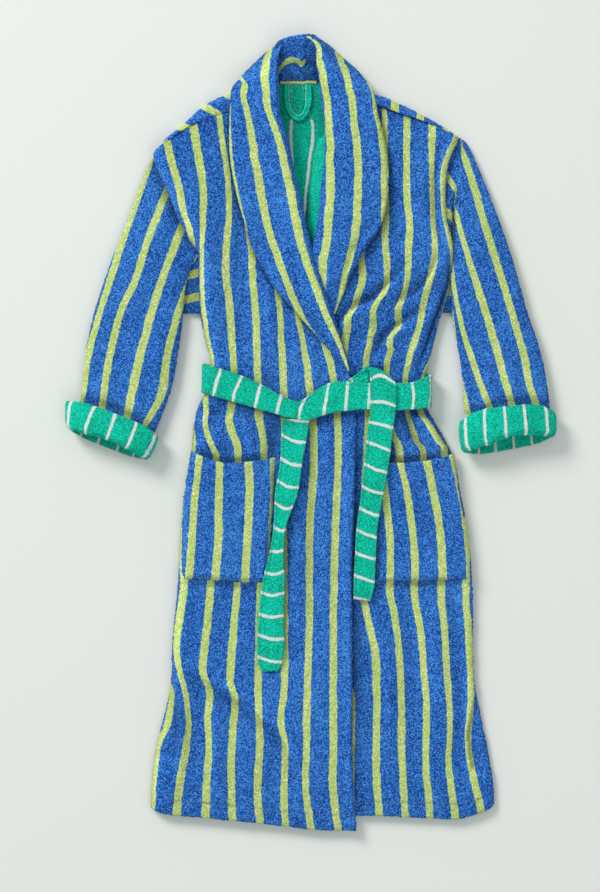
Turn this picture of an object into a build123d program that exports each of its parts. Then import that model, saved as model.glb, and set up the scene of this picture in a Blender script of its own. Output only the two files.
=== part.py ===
from build123d import *
import os

# Bathrobe laid flat on its back, closed and tied, in millimetres.
# X runs across the robe towards the wearer's left arm, Y from the hem to the collar, Z up out of
# the front. The surface that the robe lies on is z = 0.

# ---------------------------------------------------------------- driving dimensions
cloth = 4.0                # thickness of one layer of double-faced terry
layer_gap = 0.5            # air between two layers that lie on each other
belt_thickness = 3.9       # belt, pressed flat
tail_thickness = 4.0       # free end of the belt
pocket_room = 5.5          # height of the space inside a patch pocket
pocket_cloth = 3.5         # pocket layer
cuff_wall = 9.0            # turned-back cuff, two layers
sleeve_height = 25.0       # sleeve, lying flat with air in it
cuff_height = 46.0

belt_loop_top = 1.5        # thread-thin cloth loops under the back run of the belt
belt_back_level = 1.8
hump_top = 10.0            # back panel where it rides over the belt
hump_start, hump_end = 15.0, 140.0
hump_slope = 22.0
hump_play = 3.0            # room along Y that the fronts leave for the hump
hump_clearance = 0.5       # room above it
half_width = 320.0         # reach of the sheets' profiles to either side of x = 0
half_length = 700.0        # and to either side of y = 0

under_front_level = 15.0   # underside of the wearer's left front
over_front_level = under_front_level + cloth + layer_gap
over_front_top = over_front_level + cloth
under_front_top = under_front_level + cloth
wall_foot = cloth + 0.3    # side walls of the fronts stand just above the back panel
collar_level = over_front_top + layer_gap
collar_thickness = 12.0     # rolled collar, with air in it
belt_under_level = over_front_top + layer_gap
belt_over_level = belt_under_level + belt_thickness + layer_gap
tail_level = belt_over_level + belt_thickness + layer_gap
tail_top = tail_level + tail_thickness

hem_y = -649.0
front_edge_x = 76.0        # free vertical edge of the front that lies on top
under_edge_x = -60.0       # hidden vertical edge of the front below it
neck_seam_y = 577.0
centre_back_x = -6.0

# ---------------------------------------------------------------- edge curves, drawn by hand
# Armhole folds, straight because each is also the fold line of its sleeve.
right_arm_top, right_arm_foot = (-256, 453), (-184, 292)
left_arm_top, left_arm_foot = (250, 478), (231, 262)

right_shoulder = [(-128, 557), (-173, 536), (-205, 508), (-256, 453)]
left_shoulder = [(103, 556), (182, 521), (250, 478)]
right_shoulder_seam = [(-128, 526), (-190, 504), (-238, 468)]
left_shoulder_seam = [(104, 536), (200, 504), (238, 482)]

right_side_chest = [(-184, 292), (-180, 200), (-163, 118)]
right_side_waist = [(-163, 118), (-161, 90), (-167, 62)]
right_side_skirt = [(-167, 62), (-192, 0), (-214, -195), (-227, -354), (-249, -500), (-261, -612)]
left_side_chest = [(231, 262), (205, 186), (186, 112)]
left_side_waist = [(186, 112), (185, 70), (187, 40)]
left_side_skirt = [(187, 40), (232, -34), (261, -190), (268, -350), (290, -512), (302, -606)]

right_neckline = [(-92, 535), (-84, 450), (-50, 320), (0, 222), (56, 122)]
left_neckline = [(68, 535), (76, 450), (66, 340), (25, 240), (-20, 165), (under_edge_x, 100)]
right_roll = [(-50, neck_seam_y), (-48, 510), (-25, 420), (9, 292), (64, 122)]
left_roll = [(12, neck_seam_y), (25, 490), (18, 400), (12, 330)]
right_collar_edge = [(centre_back_x - 0.5, 650), (-76, 618), (-129, 556), (-131, 470), (-105, 340),
                     (-59, 239), (50, 122)]
left_collar_edge = [(centre_back_x + 0.5, 650), (47, 619), (103, 553), (127, 430), (114, 339),
                    (65, 257), (51, 212)]

right_hem = [(-261, -612), (-170, -628), (-29, -643), (front_edge_x, hem_y)]
left_hem = [(302, -606), (235, -630), (147, -628), (under_edge_x, -622)]
back_hem = [(-261, -612), (-120, -626), (147, -628), (302, -606)]

# Sleeves and cuffs: the outer edge, then the inner edge, both from the armhole to the hand.
right_sleeve_outer = [(-258, 449), (-299, 345), (-352, 198), (-371, 53)]
right_sleeve_inner = [(-186, 288), (-205, 239), (-214, 145), (-256, 1)]
left_sleeve_outer = [(252, 474), (288, 401), (355, 198), (390, 50)]
left_sleeve_inner = [(233, 258), (236, 175), (249, 87), (253, 28)]
right_cuff_outer, right_cuff_inner = [(-402, 56), (-394, 6)], [(-246, -4), (-268, -46)]
left_cuff_outer, left_cuff_inner = [(402, 49), (400, -8)], [(243, 25), (252, -36)]


# ---------------------------------------------------------------- shapes of cloth
def curve(points):
    """A straight edge through two points, or one smooth curve through more."""
    return Line(*points) if len(points) == 2 else Spline(*points)


def shifted(points, dx, dy=0.0):
    """The same edge, moved in the plane."""
    return [(x + dx, y + dy) for x, y in points]


def outline(level, *edges):
    """The face inside edges that follow each other end to end."""
    with BuildSketch(Plane.XY.offset(level)) as face:
        with BuildLine():
            for edge in edges:
                curve(edge)
        make_face()
    return face.sketch


def band(level, first, second):
    """The face between two edges, whose ends are joined by straight lines."""
    return outline(level, first, [first[-1], second[-1]], second, [second[0], first[0]])


def hem_way(hem, dx, reach=20):
    """A face across the hem, which opens the body at its lower edge."""
    return band(wall_foot, shifted(hem, dx, reach), shifted(hem, dx, -reach))


def belt_run(level, upper, lower, wall_x):
    """One front run of the belt, with the wall where it turns round the side of the body."""
    with BuildPart() as run:
        extrude(band(level, upper, lower), amount=belt_thickness)
        turn = min(upper[0][0], wall_x), max(upper[0][0], wall_x)
        corners = [(turn[0], lower[0][1]), (turn[1], lower[0][1])]
        tops = [(turn[0], upper[0][1]), (turn[1], upper[0][1])]
        wall = band(belt_back_level, corners, tops)
        extrude(wall, amount=level + belt_thickness - belt_back_level)
    return run.part


def sleeve(outer, inner, side):
    """Flattened tube, open at the armhole and at the hand. side is +1 on the wearer's right."""
    reach = 60
    inside_outer = shifted(outer, side * cloth * 1.1)
    inside_inner = shifted(inner, -side * cloth * 1.1)
    armhole_way = [inside_outer[0], (outer[0][0] + side * reach, outer[0][1]),
                   (inner[0][0] + side * reach, inner[0][1]), inside_inner[0]]
    hand_way = [inside_outer[-1], (inside_outer[-1][0] - side * 8, inside_outer[-1][1] - reach),
                (inside_inner[-1][0] - side * 8, inside_inner[-1][1] - reach), inside_inner[-1]]
    edges = [inside_outer] + [hand_way[i:i + 2] for i in range(3)]
    edges += [inside_inner] + [armhole_way[i:i + 2] for i in range(3)]
    with BuildPart() as tube:
        extrude(band(0, outer, inner), amount=sleeve_height)
        room = sleeve_height - 2 * cloth
        extrude(outline(cloth, *edges), amount=room, mode=Mode.SUBTRACT)
    return tube.part


def cuff(outer, inner, side):
    """Thick ring round the end of a sleeve. Its mouth and its sleeve side are both open."""
    wall = cuff_wall * 1.1
    past = 30
    inside_outer = shifted(outer, side * wall)
    inside_inner = shifted(inner, -side * wall)
    inside_outer = [shifted(inside_outer[:1], 0, past)[0], shifted(inside_outer[1:], 0, -past)[0]]
    inside_inner = [shifted(inside_inner[:1], 0, past)[0], shifted(inside_inner[1:], 0, -past)[0]]
    with BuildPart() as ring:
        extrude(band(0, outer, inner), amount=cuff_height)
        room = cuff_height - 2 * cuff_wall
        extrude(band(cuff_wall, inside_outer, inside_inner), amount=room, mode=Mode.SUBTRACT)
        vertical = ring.edges().filter_by(Axis.Z).sort_by(Axis.X)
        fillet([vertical[0], vertical[-1]], radius=6)
    return ring.part


def pocket(level, left, right):
    """Patch pocket: a front layer on three low walls, open at its top edge."""
    inside_left = [(left[0][0] + cloth, left[0][1] + 20), (left[1][0] + cloth, left[1][1] + cloth)]
    inside_right = [(right[0][0] - cloth, right[0][1] + 20),
                    (right[1][0] - cloth, right[1][1] + cloth)]
    with BuildPart() as patch:
        extrude(band(level, left, right), amount=pocket_room + pocket_cloth)
        extrude(band(level, inside_left, inside_right), amount=pocket_room, mode=Mode.SUBTRACT)
    return patch.part


def write(part, name):
    """Label one finished piece and write it as its own STEP file."""
    part.label = name
    export_step(part, f"parts/{name}.step")


# ---------------------------------------------------------------- body of the robe
with BuildPart() as back_panel:
    # The sheet, seen from the side: flat on the surface, with a hump over the belt.
    with BuildSketch(Plane.YZ.offset(-half_width)):
        with BuildLine():
            Polyline((-half_length, 0), (hump_start, 0),
                     (hump_start + hump_slope, hump_top - cloth),
                     (hump_end - hump_slope, hump_top - cloth), (hump_end, 0),
                     (half_length, 0), (half_length, cloth), (hump_end, cloth),
                     (hump_end - hump_slope, hump_top), (hump_start + hump_slope, hump_top),
                     (hump_start, cloth), (-half_length, cloth), close=True)
        make_face()
    extrude(amount=2 * half_width)
    back_outline = outline(
        0, right_shoulder, [right_arm_top, right_arm_foot], right_side_chest, right_side_waist,
        right_side_skirt, back_hem, left_side_skirt[::-1], left_side_waist[::-1],
        left_side_chest[::-1], [left_arm_foot, left_arm_top], left_shoulder[::-1],
        [(103, 556), (14, neck_seam_y)], [(14, neck_seam_y), (-52, neck_seam_y)],
        [(-52, neck_seam_y), (-128, 557)])
    extrude(back_outline, amount=hump_top, mode=Mode.INTERSECT)
    # Each shoulder of the back comes forward over the top, down to the shoulder seam.
    shoulder_rise = over_front_top - cloth
    extrude(band(cloth, right_shoulder[:3] + [(-240, 474)], right_shoulder_seam),
            amount=shoulder_rise)
    extrude(band(cloth, left_shoulder[:2] + [(240, 485)], left_shoulder_seam),
            amount=shoulder_rise)

# The space that both fronts leave for the hump of the back.
with BuildPart() as hump_space:
    with BuildSketch(Plane.YZ.offset(-half_width)):
        with BuildLine():
            space_start, space_end = hump_start - hump_play, hump_end + hump_play
            space_top = hump_top + hump_clearance
            Polyline((space_start, 0), (space_start, cloth), (space_start + hump_slope, space_top),
                     (space_end - hump_slope, space_top), (space_end, cloth), (space_end, 0),
                     close=True)
        make_face()
    extrude(amount=2 * half_width)

# Each front is a sheet that turns down at its side. Under the sheet, the chest and the waist are
# open from side to side, with the sizes below.
chest_y, chest_width = 420, 500
waist_width, waist_length = 420, 700

with BuildPart() as right_front_panel:
    right_front_edges = [
        right_neckline, [(56, 122), (70, 80), (75, 35)],
        [(75, 35), (69, -254), (front_edge_x, hem_y)],
        right_hem[::-1], right_side_skirt[::-1], right_side_waist[::-1], right_side_chest[::-1],
        [right_arm_foot, right_arm_top], [right_arm_top, (-238, 467)],
        shifted(right_shoulder_seam[::-1], 0, -1), [(-128, 525), (-92, 535)]]
    extrude(outline(wall_foot, *right_front_edges), amount=over_front_top - wall_foot)
    inner_edges = [shifted(edge, cloth) for edge in right_front_edges]
    room = over_front_level - wall_foot
    extrude(outline(wall_foot, *inner_edges), amount=room, mode=Mode.SUBTRACT)
    extrude(hem_way(right_hem, cloth), amount=room, mode=Mode.SUBTRACT)
    with BuildSketch(Plane.XY.offset(wall_foot)):
        with Locations((-60, chest_y)):
            Rectangle(chest_width, 2 * (chest_y - right_arm_foot[1]))
    extrude(amount=room, mode=Mode.SUBTRACT)
    with BuildSketch(Plane.XY.offset(wall_foot)):
        with Locations((60, 0)):
            Rectangle(waist_width, waist_length)
    extrude(amount=room, mode=Mode.SUBTRACT)
    add(hump_space.part, mode=Mode.SUBTRACT)

with BuildPart() as left_front_panel:
    left_front_edges = [
        left_neckline, [(under_edge_x, 100), (under_edge_x, -622)], left_hem[::-1],
        left_side_skirt[::-1], left_side_waist[::-1], left_side_chest[::-1],
        [left_arm_foot, left_arm_top], [left_arm_top, (238, 481)],
        shifted(left_shoulder_seam[::-1], 0, -1), [(104, 535), (68, 535)]]
    extrude(outline(wall_foot, *left_front_edges), amount=under_front_top - wall_foot)
    inner_edges = [shifted(edge, -cloth) for edge in left_front_edges]
    room = under_front_level - wall_foot
    extrude(outline(wall_foot, *inner_edges), amount=room, mode=Mode.SUBTRACT)
    extrude(hem_way(left_hem, -cloth), amount=room, mode=Mode.SUBTRACT)
    with BuildSketch(Plane.XY.offset(wall_foot)):
        with Locations((60, chest_y)):
            Rectangle(chest_width, 2 * (chest_y - left_arm_foot[1]))
    extrude(amount=room, mode=Mode.SUBTRACT)
    with BuildSketch(Plane.XY.offset(wall_foot)):
        with Locations((-40, 0)):
            Rectangle(waist_width, waist_length)
    extrude(amount=room, mode=Mode.SUBTRACT)
    add(hump_space.part, mode=Mode.SUBTRACT)

# ---------------------------------------------------------------- neck
# The upper collar is cut in two halves, joined at the centre back.
with BuildPart() as collar_right_half:
    extrude(outline(collar_level, right_collar_edge, [(50, 122), (64, 122)], right_roll[::-1],
                    [(-50, neck_seam_y), (-50, 590)], [(-50, 590), (centre_back_x - 0.5, 590)],
                    [(centre_back_x - 0.5, 590), (centre_back_x - 0.5, 650)]),
            amount=collar_thickness)

with BuildPart() as collar_left_half:
    extrude(outline(collar_level, left_collar_edge, [(51, 212), (34, 248), (14, 300)],
                    [(14, 300), (12, 330)], left_roll[::-1],
                    [(12, neck_seam_y), (12, 590)], [(12, 590), (centre_back_x + 0.5, 590)],
                    [(centre_back_x + 0.5, 590), (centre_back_x + 0.5, 650)]),
            amount=collar_thickness)

# Under collar: the stand, from the neck seam of each front up to the roll, and round the back.
with BuildPart() as under_collar:
    extrude(band(over_front_level, shifted(right_neckline, 2), right_roll),
            amount=cloth)
    extrude(band(over_front_level, shifted(left_neckline[:3] + [(40, 296)], -2),
                 left_roll[:3] + [(16, 310)]), amount=cloth)
    with BuildSketch(Plane.XY.offset(over_front_level)):
        with BuildLine():
            Polyline((-89, 526), (-54, 526), (-54, 592), (16, 592), (16, 526), (64, 526), (66, 590),
                     (30, 636), (-48, 628), (-90, 590), close=True)
        make_face()
    extrude(amount=cloth)
    with BuildSketch(Plane.XY):
        with BuildLine():
            Polyline((-50, 596), (12, 596), (26, 630), (-46, 622), close=True)
        make_face()
    extrude(amount=over_front_level + cloth / 2)

with BuildPart() as neck_tape:
    with BuildSketch(Plane.XY.offset(cloth + 0.2)):
        with Locations((-19, neck_seam_y - 2)):
            Rectangle(60, 6)
    extrude(amount=2.2)

loop_level = cloth + 0.6
loop_thickness = 3.0
with BuildPart() as hanger_loop:
    extrude(band(loop_level, [(-42, 570), (-42, 540), (-19, 512), (4, 540), (5, 570)],
                 [(-32.5, 570), (-32.5, 541), (-19, 523), (-5.5, 541), (-4.5, 570)]),
            amount=loop_thickness)

# ---------------------------------------------------------------- pockets
right_pocket = pocket(over_front_top, [(-190, -38), (-211, -238)], [(-58, -40), (-67, -240)])
left_pocket = pocket(under_front_top, [(112, -46), (106, -242)], [(230, -40), (261, -238)])

# ---------------------------------------------------------------- sleeves and cuffs
right_sleeve = sleeve(right_sleeve_outer, right_sleeve_inner, 1)
left_sleeve = sleeve(left_sleeve_outer, left_sleeve_inner, -1)
right_cuff = cuff(right_cuff_outer, right_cuff_inner, 1)
left_cuff = cuff(left_cuff_outer, left_cuff_inner, -1)

# ---------------------------------------------------------------- belt, tied in front
belt_right_end = [(-172, 114), (-172, 66)]
belt_left_end = [(193, 98), (193, 40)]
with BuildPart() as belt_back_run:
    extrude(band(belt_back_level, shifted(belt_right_end, 0.2), shifted(belt_left_end, -0.2)),
            amount=belt_thickness)

# The run from the wearer's right passes under the other one and comes up above it.
belt_right_run = belt_run(belt_under_level,
                          [(-172, 114), (-110, 95), (-50, 66), (10, 74), (72, 107), (95, 107)],
                          [(-172, 66), (-130, 52), (-40, 26), (10, 26), (60, 55), (95, 84)], -176)
belt_left_run = belt_run(belt_over_level,
                         [(193, 98), (165, 84), (60, 85), (15, 75), (-42, 30)],
                         [(193, 40), (165, 38), (95, 38), (40, 33), (0, 20)], 197)

# It then turns over the top edge and lies across both runs.
wrap_x, wrap_width = 97, 45
wrap_low, wrap_high = 36, 104
with BuildPart() as belt_wrap:
    with BuildSketch(Plane.YZ.offset(wrap_x)):
        with BuildLine():
            wrap_back = wrap_high + tail_thickness
            Polyline((wrap_low, tail_level), (wrap_high, tail_level),
                     (wrap_high, belt_under_level), (wrap_back, belt_under_level),
                     (wrap_back, tail_top), (wrap_low, tail_top), close=True)
        make_face()
    extrude(amount=wrap_width)

with BuildPart() as belt_tail_left:
    extrude(band(tail_level, [(97, 35), (87, -50), (72, -200), (70, -268)],
                 [(142, 35), (129, -50), (108, -200), (100, -272)]), amount=tail_thickness)

with BuildPart() as belt_tail_right:
    extrude(band(tail_level, [(-46, 18), (-58, -100), (-70, -200), (-86, -330), (-82, -387)],
                 [(-2, 18), (-20, -100), (-41, -200), (-42, -300), (-48, -387)]),
            amount=tail_thickness)

# Two narrow cloth loops on the back, near the side seams, hold the back run of the belt.
loop_width = 12
loop_half_length = 32
loop_wall = 2
loop_top = hump_top - cloth - 1.0
with BuildPart() as belt_loops:
    for x, y in [(-140, 88), (160, 70)]:
        low, high = y - loop_half_length, y + loop_half_length
        with BuildSketch(Plane.YZ.offset(x)):
            with BuildLine():
                Polyline((low, 0), (high, 0), (high, loop_top), (high - loop_wall, loop_top),
                         (high - loop_wall, belt_loop_top), (low + loop_wall, belt_loop_top),
                         (low + loop_wall, loop_top), (low, loop_top), close=True)
            make_face()
        extrude(amount=loop_width)

# ---------------------------------------------------------------- one file for each piece
os.makedirs("parts", exist_ok=True)
pieces = {
    "back_panel": back_panel.part,
    "right_front_panel": right_front_panel.part,
    "left_front_panel": left_front_panel.part,
    "collar_right_half": collar_right_half.part,
    "collar_left_half": collar_left_half.part,
    "under_collar": under_collar.part,
    "neck_tape": neck_tape.part,
    "hanger_loop": hanger_loop.part,
    "right_pocket": right_pocket,
    "left_pocket": left_pocket,
    "right_sleeve": right_sleeve,
    "left_sleeve": left_sleeve,
    "right_cuff": right_cuff,
    "left_cuff": left_cuff,
    "belt_back_run": belt_back_run.part,
    "belt_right_run": belt_right_run,
    "belt_left_run": belt_left_run,
    "belt_wrap": belt_wrap.part,
    "belt_tail_right": belt_tail_right.part,
    "belt_tail_left": belt_tail_left.part,
    "belt_loops": belt_loops.part,
}
for name, part in pieces.items():
    write(part, name)
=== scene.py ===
import bpy
import numpy as np
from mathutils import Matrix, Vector


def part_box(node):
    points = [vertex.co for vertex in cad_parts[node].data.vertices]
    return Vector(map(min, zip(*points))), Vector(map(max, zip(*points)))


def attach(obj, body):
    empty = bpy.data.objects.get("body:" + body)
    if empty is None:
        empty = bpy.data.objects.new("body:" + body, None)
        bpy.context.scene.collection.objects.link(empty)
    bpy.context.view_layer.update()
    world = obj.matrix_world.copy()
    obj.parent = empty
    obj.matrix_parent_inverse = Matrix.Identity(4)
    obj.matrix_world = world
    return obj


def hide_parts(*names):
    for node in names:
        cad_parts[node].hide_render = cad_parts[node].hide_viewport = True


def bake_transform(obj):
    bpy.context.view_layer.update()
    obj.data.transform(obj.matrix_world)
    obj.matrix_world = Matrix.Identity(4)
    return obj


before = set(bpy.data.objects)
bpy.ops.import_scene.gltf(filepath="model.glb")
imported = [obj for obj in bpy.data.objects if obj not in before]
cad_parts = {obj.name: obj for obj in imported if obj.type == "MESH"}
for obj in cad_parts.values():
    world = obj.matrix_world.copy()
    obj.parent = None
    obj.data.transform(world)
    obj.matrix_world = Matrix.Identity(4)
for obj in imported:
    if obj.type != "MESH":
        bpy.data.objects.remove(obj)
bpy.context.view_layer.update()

# A bathrobe of double-faced terry, laid flat on its back, closed and tied.
# Lengths in the shape code are millimetres, and become metres where a mesh is made.
MM = 0.001
CLOTH = 4.0                    # one layer of terry
HEM_DEPTH = 25.0               # from a hem's edge up to its stitching
OUT_PITCH = 43.0               # between stripes of the outer face
IN_PITCH = 35.0                # between stripes of the inner face
MOUTH_INSET = 4.6              # from the outside of a cuff to its sleeve, at the mouth
CENTRE_BACK = -7.0             # x of the seam at the collar's centre back
SOFT_EDGE = 0.3                # share of a cloth's thickness lost at each side of its edge
REST_STEP = 37.0               # between the places of two pieces in the noise
INNER_REST = 400.0             # the same between the two faces of a piece
PANEL_SPACING = 3.0            # between points of a front
BACK_SPACING = 4.6             # between points of the back
POCKET_SPACING = 2.8           # between points of a pocket
SIDE_ROLL = 15.0               # width over which a front's side turns down
STITCH_PITCH = 4.6             # from one stitch to the next
STITCH_LENGTH = 3.0
STITCH_RADIUS = 0.55
UP, DOWN = (0, 0, 1), (0, 0, -1)

# Heights of the layers, as in the frame.
UNDER_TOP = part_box("left_front_panel")[1].z / MM
OVER_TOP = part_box("right_front_panel")[1].z / MM
COLLAR_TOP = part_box("collar_right_half")[1].z / MM
BELT_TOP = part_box("belt_left_run")[1].z / MM
TAIL_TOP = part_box("belt_tail_right")[1].z / MM
CUFF_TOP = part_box("right_cuff")[1].z / MM
SLEEVE_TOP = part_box("right_sleeve")[1].z / MM


# ---------------------------------------------------------------- camera, floor and light
def make_camera():
    """Straight down over the robe, from far enough for a long lens."""
    centre, distance, view_height = (-0.0163, -0.0204), 4.2, 1.454
    camera = bpy.data.objects.new("camera", bpy.data.cameras.new("camera"))
    bpy.context.scene.collection.objects.link(camera)
    camera.location = (centre[0], centre[1], distance + 0.02)
    camera.data.lens = camera.data.sensor_width * distance / view_height
    bpy.context.scene.camera = camera


def area_light(name, place, size, power, colour=(1, 1, 1)):
    """A soft light that looks at the middle of the robe."""
    light = bpy.data.objects.new(name, bpy.data.lights.new(name, "AREA"))
    light.data.shape, light.data.size = "DISK", size
    light.data.energy, light.data.color = power, colour
    light.location = place
    light.rotation_euler = (Vector((0, 0, 0)) - Vector(place)).to_track_quat("-Z", "Y").to_euler()
    bpy.context.scene.collection.objects.link(light)


def make_studio():
    """Even daylight, with a soft key light from the upper left."""
    scene = bpy.context.scene
    scene.view_settings.view_transform = "Standard"
    world = bpy.data.worlds.new("studio")
    world.use_nodes = True
    world.node_tree.nodes["Background"].inputs["Color"].default_value = (0.93, 0.97, 1.0, 1)
    world.node_tree.nodes["Background"].inputs["Strength"].default_value = 0.59
    scene.world = world
    area_light("key", (-5.0, 5.6, 4.9), 3.6, 590, (1.0, 0.985, 0.96))
    area_light("fill", (1.8, -2.8, 4.8), 3.0, 26)


def make_floor():
    """The pale surface that the robe lies on."""
    mesh = bpy.data.meshes.new("floor")
    size = 6.0
    mesh.from_pydata([(-size, -size, 0), (size, -size, 0), (size, size, 0), (-size, size, 0)],
                     [], [(0, 1, 2, 3)])
    floor = bpy.data.objects.new("floor", mesh)
    bpy.context.scene.collection.objects.link(floor)
    paper = bpy.data.materials.new("floor")
    paper.use_nodes = True
    nodes, links = paper.node_tree.nodes, paper.node_tree.links
    shader = nodes["Principled BSDF"]
    shader.inputs["Roughness"].default_value = 0.9
    noise = nodes.new("ShaderNodeTexNoise")
    noise.inputs["Scale"].default_value = 2.2
    ramp = nodes.new("ShaderNodeMix")
    ramp.data_type = "RGBA"
    ramp.inputs["A"].default_value = (0.74, 0.77, 0.72, 1)
    ramp.inputs["B"].default_value = (0.80, 0.82, 0.78, 1)
    links.new(noise.outputs["Fac"], ramp.inputs["Factor"])
    links.new(ramp.outputs["Result"], shader.inputs["Base Color"])
    mesh.materials.append(paper)


# ---------------------------------------------------------------- materials
THREADS = {}                   # the sewing thread that goes with each terry


class Graph:
    """Makes and links the nodes of one material."""

    def __init__(self, tree):
        """Starts with the place on the cloth, which most textures use."""
        self.nodes, self.links = tree.nodes, tree.links
        self.rest = self.attribute("rest").outputs["Vector"]

    def attribute(self, label):
        """A point attribute of the mesh."""
        node = self.nodes.new("ShaderNodeAttribute")
        node.attribute_name = label
        return node

    def math(self, kind, *values):
        """A calculation with numbers or other nodes' outputs."""
        node = self.nodes.new("ShaderNodeMath")
        node.operation = kind
        for i, value in enumerate(values):
            if isinstance(value, (int, float)):
                node.inputs[i].default_value = value
            else:
                self.links.new(value, node.inputs[i])
        return node.outputs[0]

    def ranged(self, value, low, high, to_low, to_high):
        """A value taken smoothly from one range to another."""
        node = self.nodes.new("ShaderNodeMapRange")
        node.interpolation_type = "SMOOTHSTEP"
        self.links.new(value, node.inputs["Value"])
        for label, number in (("From Min", low), ("From Max", high),
                              ("To Min", to_low), ("To Max", to_high)):
            node.inputs[label].default_value = number
        return node.outputs["Result"]

    def noise(self, scale, detail):
        """Noise that stays with the cloth."""
        node = self.nodes.new("ShaderNodeTexNoise")
        node.inputs["Scale"].default_value = scale
        node.inputs["Detail"].default_value = detail
        self.links.new(self.rest, node.inputs["Vector"])
        return node.outputs["Fac"]

    def centred(self, noise, amount):
        """Noise about 0 instead of 0.5, times an amount."""
        return self.math("MULTIPLY", self.math("SUBTRACT", noise, 0.5), amount)

    def mix(self, factor, a, b):
        """A colour between two colours, each a tuple or an output."""
        node = self.nodes.new("ShaderNodeMix")
        node.data_type = "RGBA"
        self.links.new(factor, node.inputs["Factor"])
        for label, value in (("A", a), ("B", b)):
            if isinstance(value, tuple):
                node.inputs[label].default_value = (*value, 1)
            else:
                self.links.new(value, node.inputs[label])
        return node.outputs["Result"]


def stripe_mask(graph, share):
    """1 on the woven stripes and 0 between them. The edges of the stripes are a little uneven."""
    edge_noise = graph.math("SUBTRACT", graph.noise(160, 3.0), 0.5)
    wander = graph.math("SUBTRACT", graph.noise(38, 1.0), 0.5)
    count = graph.math("ADD", graph.attribute("stripe").outputs["Fac"],
                       graph.math("MULTIPLY", edge_noise, 0.085))
    count = graph.math("ADD", count, graph.math("MULTIPLY", wander, 0.07))
    fraction = graph.math("FRACT", graph.math("ADD", count, 0.5))
    off = graph.math("ABSOLUTE", graph.math("SUBTRACT", fraction, 0.5))
    half, blur = share / 2, 0.018
    return graph.ranged(off, half - blur, half + blur, 1.0, 0.0)


def terry_material(name, ground, light, dark, stripe, stripe_dark, stripe_share, grain=1.0):
    """Looped terry pile: speckled loops, patches where the pile lies over, and woven stripes.

    The stripes follow the cloth: the point attribute "stripe" counts them, whole numbers on
    their middles. The attribute "rest" is the place on the cloth, and "shade" is painted shade
    and painted highlight: darker in hollows and beside what lies on the cloth, lighter on crests."""
    material = bpy.data.materials.new(name)
    material.use_nodes = True
    nodes, links = material.node_tree.nodes, material.node_tree.links
    shader = nodes["Principled BSDF"]
    for label, value in (("Roughness", 0.95), ("Specular IOR Level", 0.08),
                         ("Sheen Weight", 0.06), ("Sheen Roughness", 0.6)):
        shader.inputs[label].default_value = value
    graph = Graph(material.node_tree)
    loops = nodes.new("ShaderNodeTexVoronoi")
    loops.inputs["Scale"].default_value = 680 * grain
    links.new(graph.rest, loops.inputs["Vector"])
    each = nodes.new("ShaderNodeSeparateColor")
    links.new(loops.outputs["Color"], each.inputs["Color"])
    speck = graph.noise(860 * grain, 1.0)
    clump = graph.noise(420, 1.0)
    patch = graph.noise(34, 2.0)
    drift = graph.noise(9, 2.0)
    mask = stripe_mask(graph, stripe_share)

    brightness = graph.math("ADD", graph.math("MULTIPLY", speck, 0.5),
                            graph.math("MULTIPLY", clump, 0.2))
    brightness = graph.math("ADD", brightness, graph.math("MULTIPLY", each.outputs["Red"], 0.3))
    lift = graph.math("ADD", brightness, graph.centred(patch, 0.10))
    lift = graph.math("ADD", lift, graph.centred(drift, 0.12))
    tone = graph.ranged(lift, 0.46, 0.645, 0.0, 1.0)
    low_tone = graph.ranged(lift, 0.31, 0.50, 0.0, 1.0)
    pile = graph.mix(tone, graph.mix(low_tone, dark, ground), light)
    lines = graph.mix(tone, stripe_dark, stripe)
    colour = graph.mix(mask, pile, lines)
    gaps = graph.ranged(loops.outputs["Distance"], 0.25, 0.95, 1.0, 0.72)
    shade = graph.math("MULTIPLY", gaps, graph.attribute("shade").outputs["Fac"])
    shaded = nodes.new("ShaderNodeVectorMath")
    shaded.operation = "SCALE"
    links.new(colour, shaded.inputs[0])
    links.new(shade, shaded.inputs["Scale"])
    links.new(shaded.outputs["Vector"], shader.inputs["Base Color"])

    height = graph.math("SUBTRACT", graph.math("MULTIPLY", brightness, 1.6),
                        graph.math("MULTIPLY", loops.outputs["Distance"], 0.5))
    bump = nodes.new("ShaderNodeBump")
    bump.inputs["Strength"].default_value = 0.8
    bump.inputs["Distance"].default_value = 1.4 * MM
    links.new(height, bump.inputs["Height"])
    links.new(bump.outputs["Normal"], shader.inputs["Normal"])
    return material


def make_materials():
    """The two terries, the tape, and the threads, which look like very fine terry."""
    blue = terry_material("terry_blue_lime", (0.011, 0.112, 0.52), (0.092, 0.39, 1.0),
                          (0.002, 0.028, 0.20), (0.98, 1.0, 0.48), (0.48, 0.70, 0.145), 0.29)
    green = terry_material("terry_green_white", (0.000, 0.56, 0.37), (0.003, 0.95, 0.66),
                           (0.000, 0.24, 0.14), (1.0, 1.0, 0.98), (0.88, 0.92, 0.88), 0.135, 1.2)
    tape = terry_material("lime_tape", (0.66, 0.76, 0.24), (0.86, 0.94, 0.42),
                          (0.44, 0.54, 0.12), (0.86, 0.94, 0.42), (0.60, 0.70, 0.20), 0.29, 2.0)
    thread_blue = terry_material("thread_blue", (0.16, 0.38, 0.72), (0.40, 0.62, 0.90),
                                 (0.08, 0.22, 0.50), (0.5, 0.7, 0.9), (0.3, 0.5, 0.7), 0.05, 2.0)
    thread_green = terry_material("thread_green", (0.05, 0.62, 0.42), (0.20, 0.85, 0.64),
                                  (0.02, 0.42, 0.28), (0.5, 0.9, 0.8), (0.3, 0.8, 0.6), 0.05, 2.0)
    THREADS.update({blue.name: thread_blue, green.name: thread_green})
    return blue, green, tape


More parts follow.
